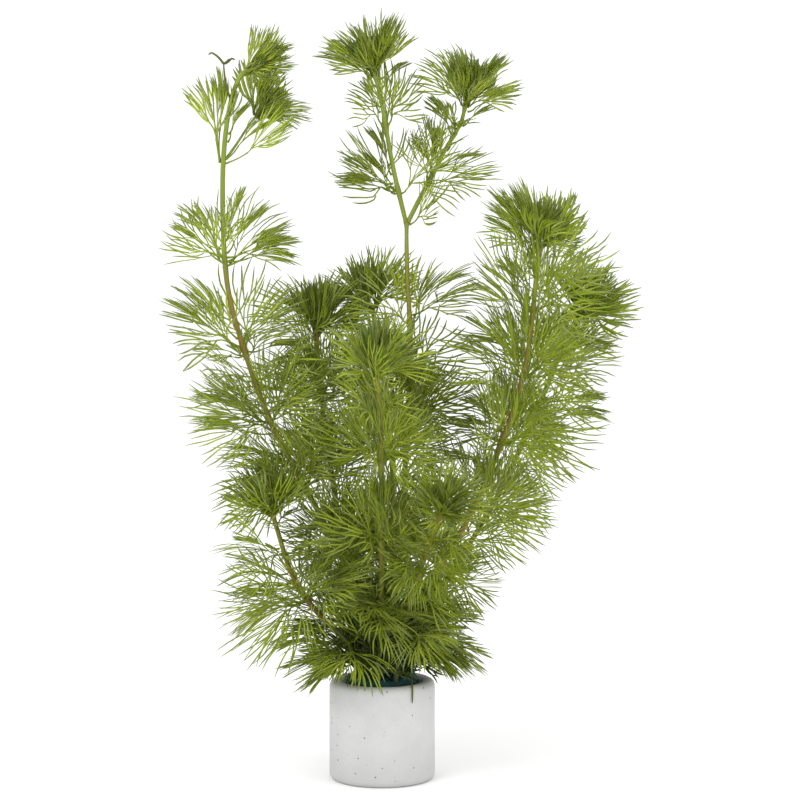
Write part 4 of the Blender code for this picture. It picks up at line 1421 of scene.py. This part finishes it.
def cup_ceramic():
    """Unglazed white ceramic: chalky, faintly mottled, with a few dark pinholes, and painted shade
    darker towards the foot.
    """
    material, wires, shader, place = new_material("cup_ceramic")
    grain = mottled(wires, place, 160.0, 1400.0, 0.35)
    holes = pitted(wires, place, 450.0, 0.115, 0.6)
    flecks = pitted(wires, place, 900.0, 0.15, 0.15)
    height = wires.out("ShaderNodeSeparateXYZ", {"Vector": place}, output="Z")
    body = painted(
        wires,
        mixed(wires, grain["Mask"], linear(188, 188, 188), linear(200, 200, 200)),
        # Painted shade: the wall darkens towards the foot.
        (wires.ramp(height, *PAINTED_FOOT_SHADE), 0.5, (166, 166, 166)),
        (flecks, 0.35, (150, 147, 140)),
        (holes, 0.9, (84, 78, 68)),
    )
    relief = grain["Mask"] * 0.25 - holes
    finished(wires, shader, body, grain["Fine"] * 0.2 + 0.66, relief, 0.5)
    return material


cup = grown("cup", cup_profile(), turned_cup, {"Material": cup_ceramic()})
print("cup:", triangle_count(cup), "triangles")

# %% [markdown]
# ## The foam
# The cut stems are held by a plug of open foam. Foam is a web round bubbles, so its torn surface is a
# crowd of small hollows. The CAD plug is remeshed evenly, because its long faces could not bend, and a
# Voronoi pattern pushes the hollows in.

# %% The foam
FOAM_VOXEL = 0.5 * MM
HOLLOW_EDGE = 0.6
TUFT_MIDDLE = (0.0068, -0.0055, 0.0255)
TUFT_RADII = (0.0034, 0.0005)
TUFT_ABOVE = 0.0248
TUFT_LEAN = 0.35
FOAM_TAKES = {
    "Plug": "Geometry", "Bubble Scale": 620.0, "Hollow": 0.0005, "Tuft Height": 0.0026,
    "Material": "Material",
}


@node_group("open foam", "Geometry", FOAM_TAKES, {"Foam": "Geometry"})
def open_foam(wires, takes):
    place = wires.out("GeometryNodeInputPosition")
    feeds = {"Vector": place, "Scale": takes["Bubble Scale"]}
    distance = wires.out("ShaderNodeTexVoronoi", feeds, output="Distance")
    hollow = wires.ramp(distance, 0.0, HOLLOW_EDGE) - 1.0
    push = wires.out("GeometryNodeInputNormal") * (hollow * takes["Hollow"])
    from_tuft = wires.vector("DISTANCE", place, TUFT_MIDDLE)
    near = wires.ramp(from_tuft, *TUFT_RADII, interpolation_type="SMOOTHSTEP")
    height = wires.out("ShaderNodeSeparateXYZ", {"Vector": place}, output="Z")
    lift = near * wires.math("GREATER_THAN", height, TUFT_ABOVE) * takes["Tuft Height"]
    push += wires.out("ShaderNodeCombineXYZ", {"X": lift * TUFT_LEAN, "Z": lift})
    return wires.finished(wires.moved(takes["Plug"], Offset=push), takes["Material"])


def foam_teal():
    material, wires, shader, place = new_material("foam_teal")
    grain = mottled(wires, place, 300.0, 2400.0)
    pores = pitted(wires, place, 1500.0, 0.25, 0.8)
    stains = mottled(wires, place, 130.0, 900.0)
    body = painted(
        wires,
        mixed(wires, grain["Mask"], linear(14, 58, 70), linear(34, 98, 108)),
        (stains["Mask"], 0.85, (20, 50, 34)),
        (pores, 0.7, (8, 34, 40)),
    )
    rough = grain["Fine"] * 0.15 + 0.8
    finished(wires, shader, body, rough, pores, 0.6, 0.3 * MM, invert=True)
    return material


def even_plug():
    """The CAD foam with faces of one size."""
    source = placed("foam_plug", mesh_of(welded("foam"), "foam_plug"))
    remesh = source.modifiers.new("even", "REMESH")
    remesh.mode = "VOXEL"
    remesh.voxel_size = FOAM_VOXEL
    return evaluated(source, "foam_plug_even")


foam = grown("foam_plug_torn", even_plug(), open_foam, {"Material": foam_teal()})
print("foam:", triangle_count(foam), "triangles")

# %% [markdown]
# ## Floor and light
# The picture has a white ground and light from all sides, so shadows are faint. A white world gives
# that, a wide lamp above and to the left gives the threads a bright side, and a weaker one from the
# right keeps the other side from going flat.

# %% Floor and light
FLOOR_HALF = 6.0
LAMP_AIM = Vector((0.0, 0.0, 0.1))


def pale_floor():
    material, wires, shader, place = new_material("pale_floor")
    grain = mottled(wires, place, 3.0, 60.0)
    body = mixed(wires, grain["Mask"], (0.93, 0.93, 0.93, 1.0), (0.96, 0.96, 0.96, 1.0))
    wires.feed(shader.inputs["Base Color"], body)
    shader.inputs["Roughness"].default_value = 0.9
    return material


corners = [(-FLOOR_HALF, -FLOOR_HALF, 0), (FLOOR_HALF, -FLOOR_HALF, 0),
           (FLOOR_HALF, FLOOR_HALF, 0), (-FLOOR_HALF, FLOOR_HALF, 0)]
floor = placed("floor", new_mesh("floor", corners, faces=[(0, 1, 2, 3)]))
floor.data.materials.append(pale_floor())
floor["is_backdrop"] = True

world = bpy.data.worlds.new("white_room")
world.use_nodes = True
background = world.node_tree.nodes["Background"]
background.inputs["Color"].default_value = (1.0, 1.0, 1.0, 1.0)
background.inputs["Strength"].default_value = 1.12
bpy.context.scene.world = world
bpy.context.scene.view_settings.view_transform = "Standard"


def area_lamp(name, place, size, power):
    data = bpy.data.lights.new(name, "AREA")
    data.shape = "SQUARE"
    data.size = size
    data.energy = power
    lamp = placed(name, data)
    lamp.location = place
    lamp.rotation_euler = (LAMP_AIM - Vector(place)).to_track_quat("-Z", "Y").to_euler()


area_lamp("key_lamp", (-0.5, -0.7, 0.9), 0.5, 4.5)
area_lamp("fill_lamp", (0.7, -0.5, 0.5), 0.6, 1.5)
print("floor and light ready")

# %% [markdown]
# ## Handing the pieces to the frame
# Every piece rides on the one body of this model, and the CAD nodes that the pieces stand for are
# hidden.

# %% Handing the pieces to the frame
for name, piece in leaf_pieces.items():
    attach(piece, "root")
    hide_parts(name)
for name, piece in stem_pieces.items():
    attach(piece, "root")
    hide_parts(name)
for piece in strand_pieces:
    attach(piece, "root")
for piece, node, slot in ((cup, "pot", "white_ceramic"), (foam, "foam", "foam")):
    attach(piece, "root")
    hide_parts(node)

shown = [o for o in bpy.context.scene.objects if o.type == "MESH" and not o.hide_render]
print("triangles in all:", sum(triangle_count(piece) for piece in shown))
low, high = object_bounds()
sizes = {"cad": [list(cad_low), list(cad_high)], "visual": [list(low), list(high)]}
print("visual box past the CAD box, mm:", [round((c - v) / MM, 1) for c, v in zip(cad_low, low)],
      [round((v - c) / MM, 1) for c, v in zip(cad_high, high)])
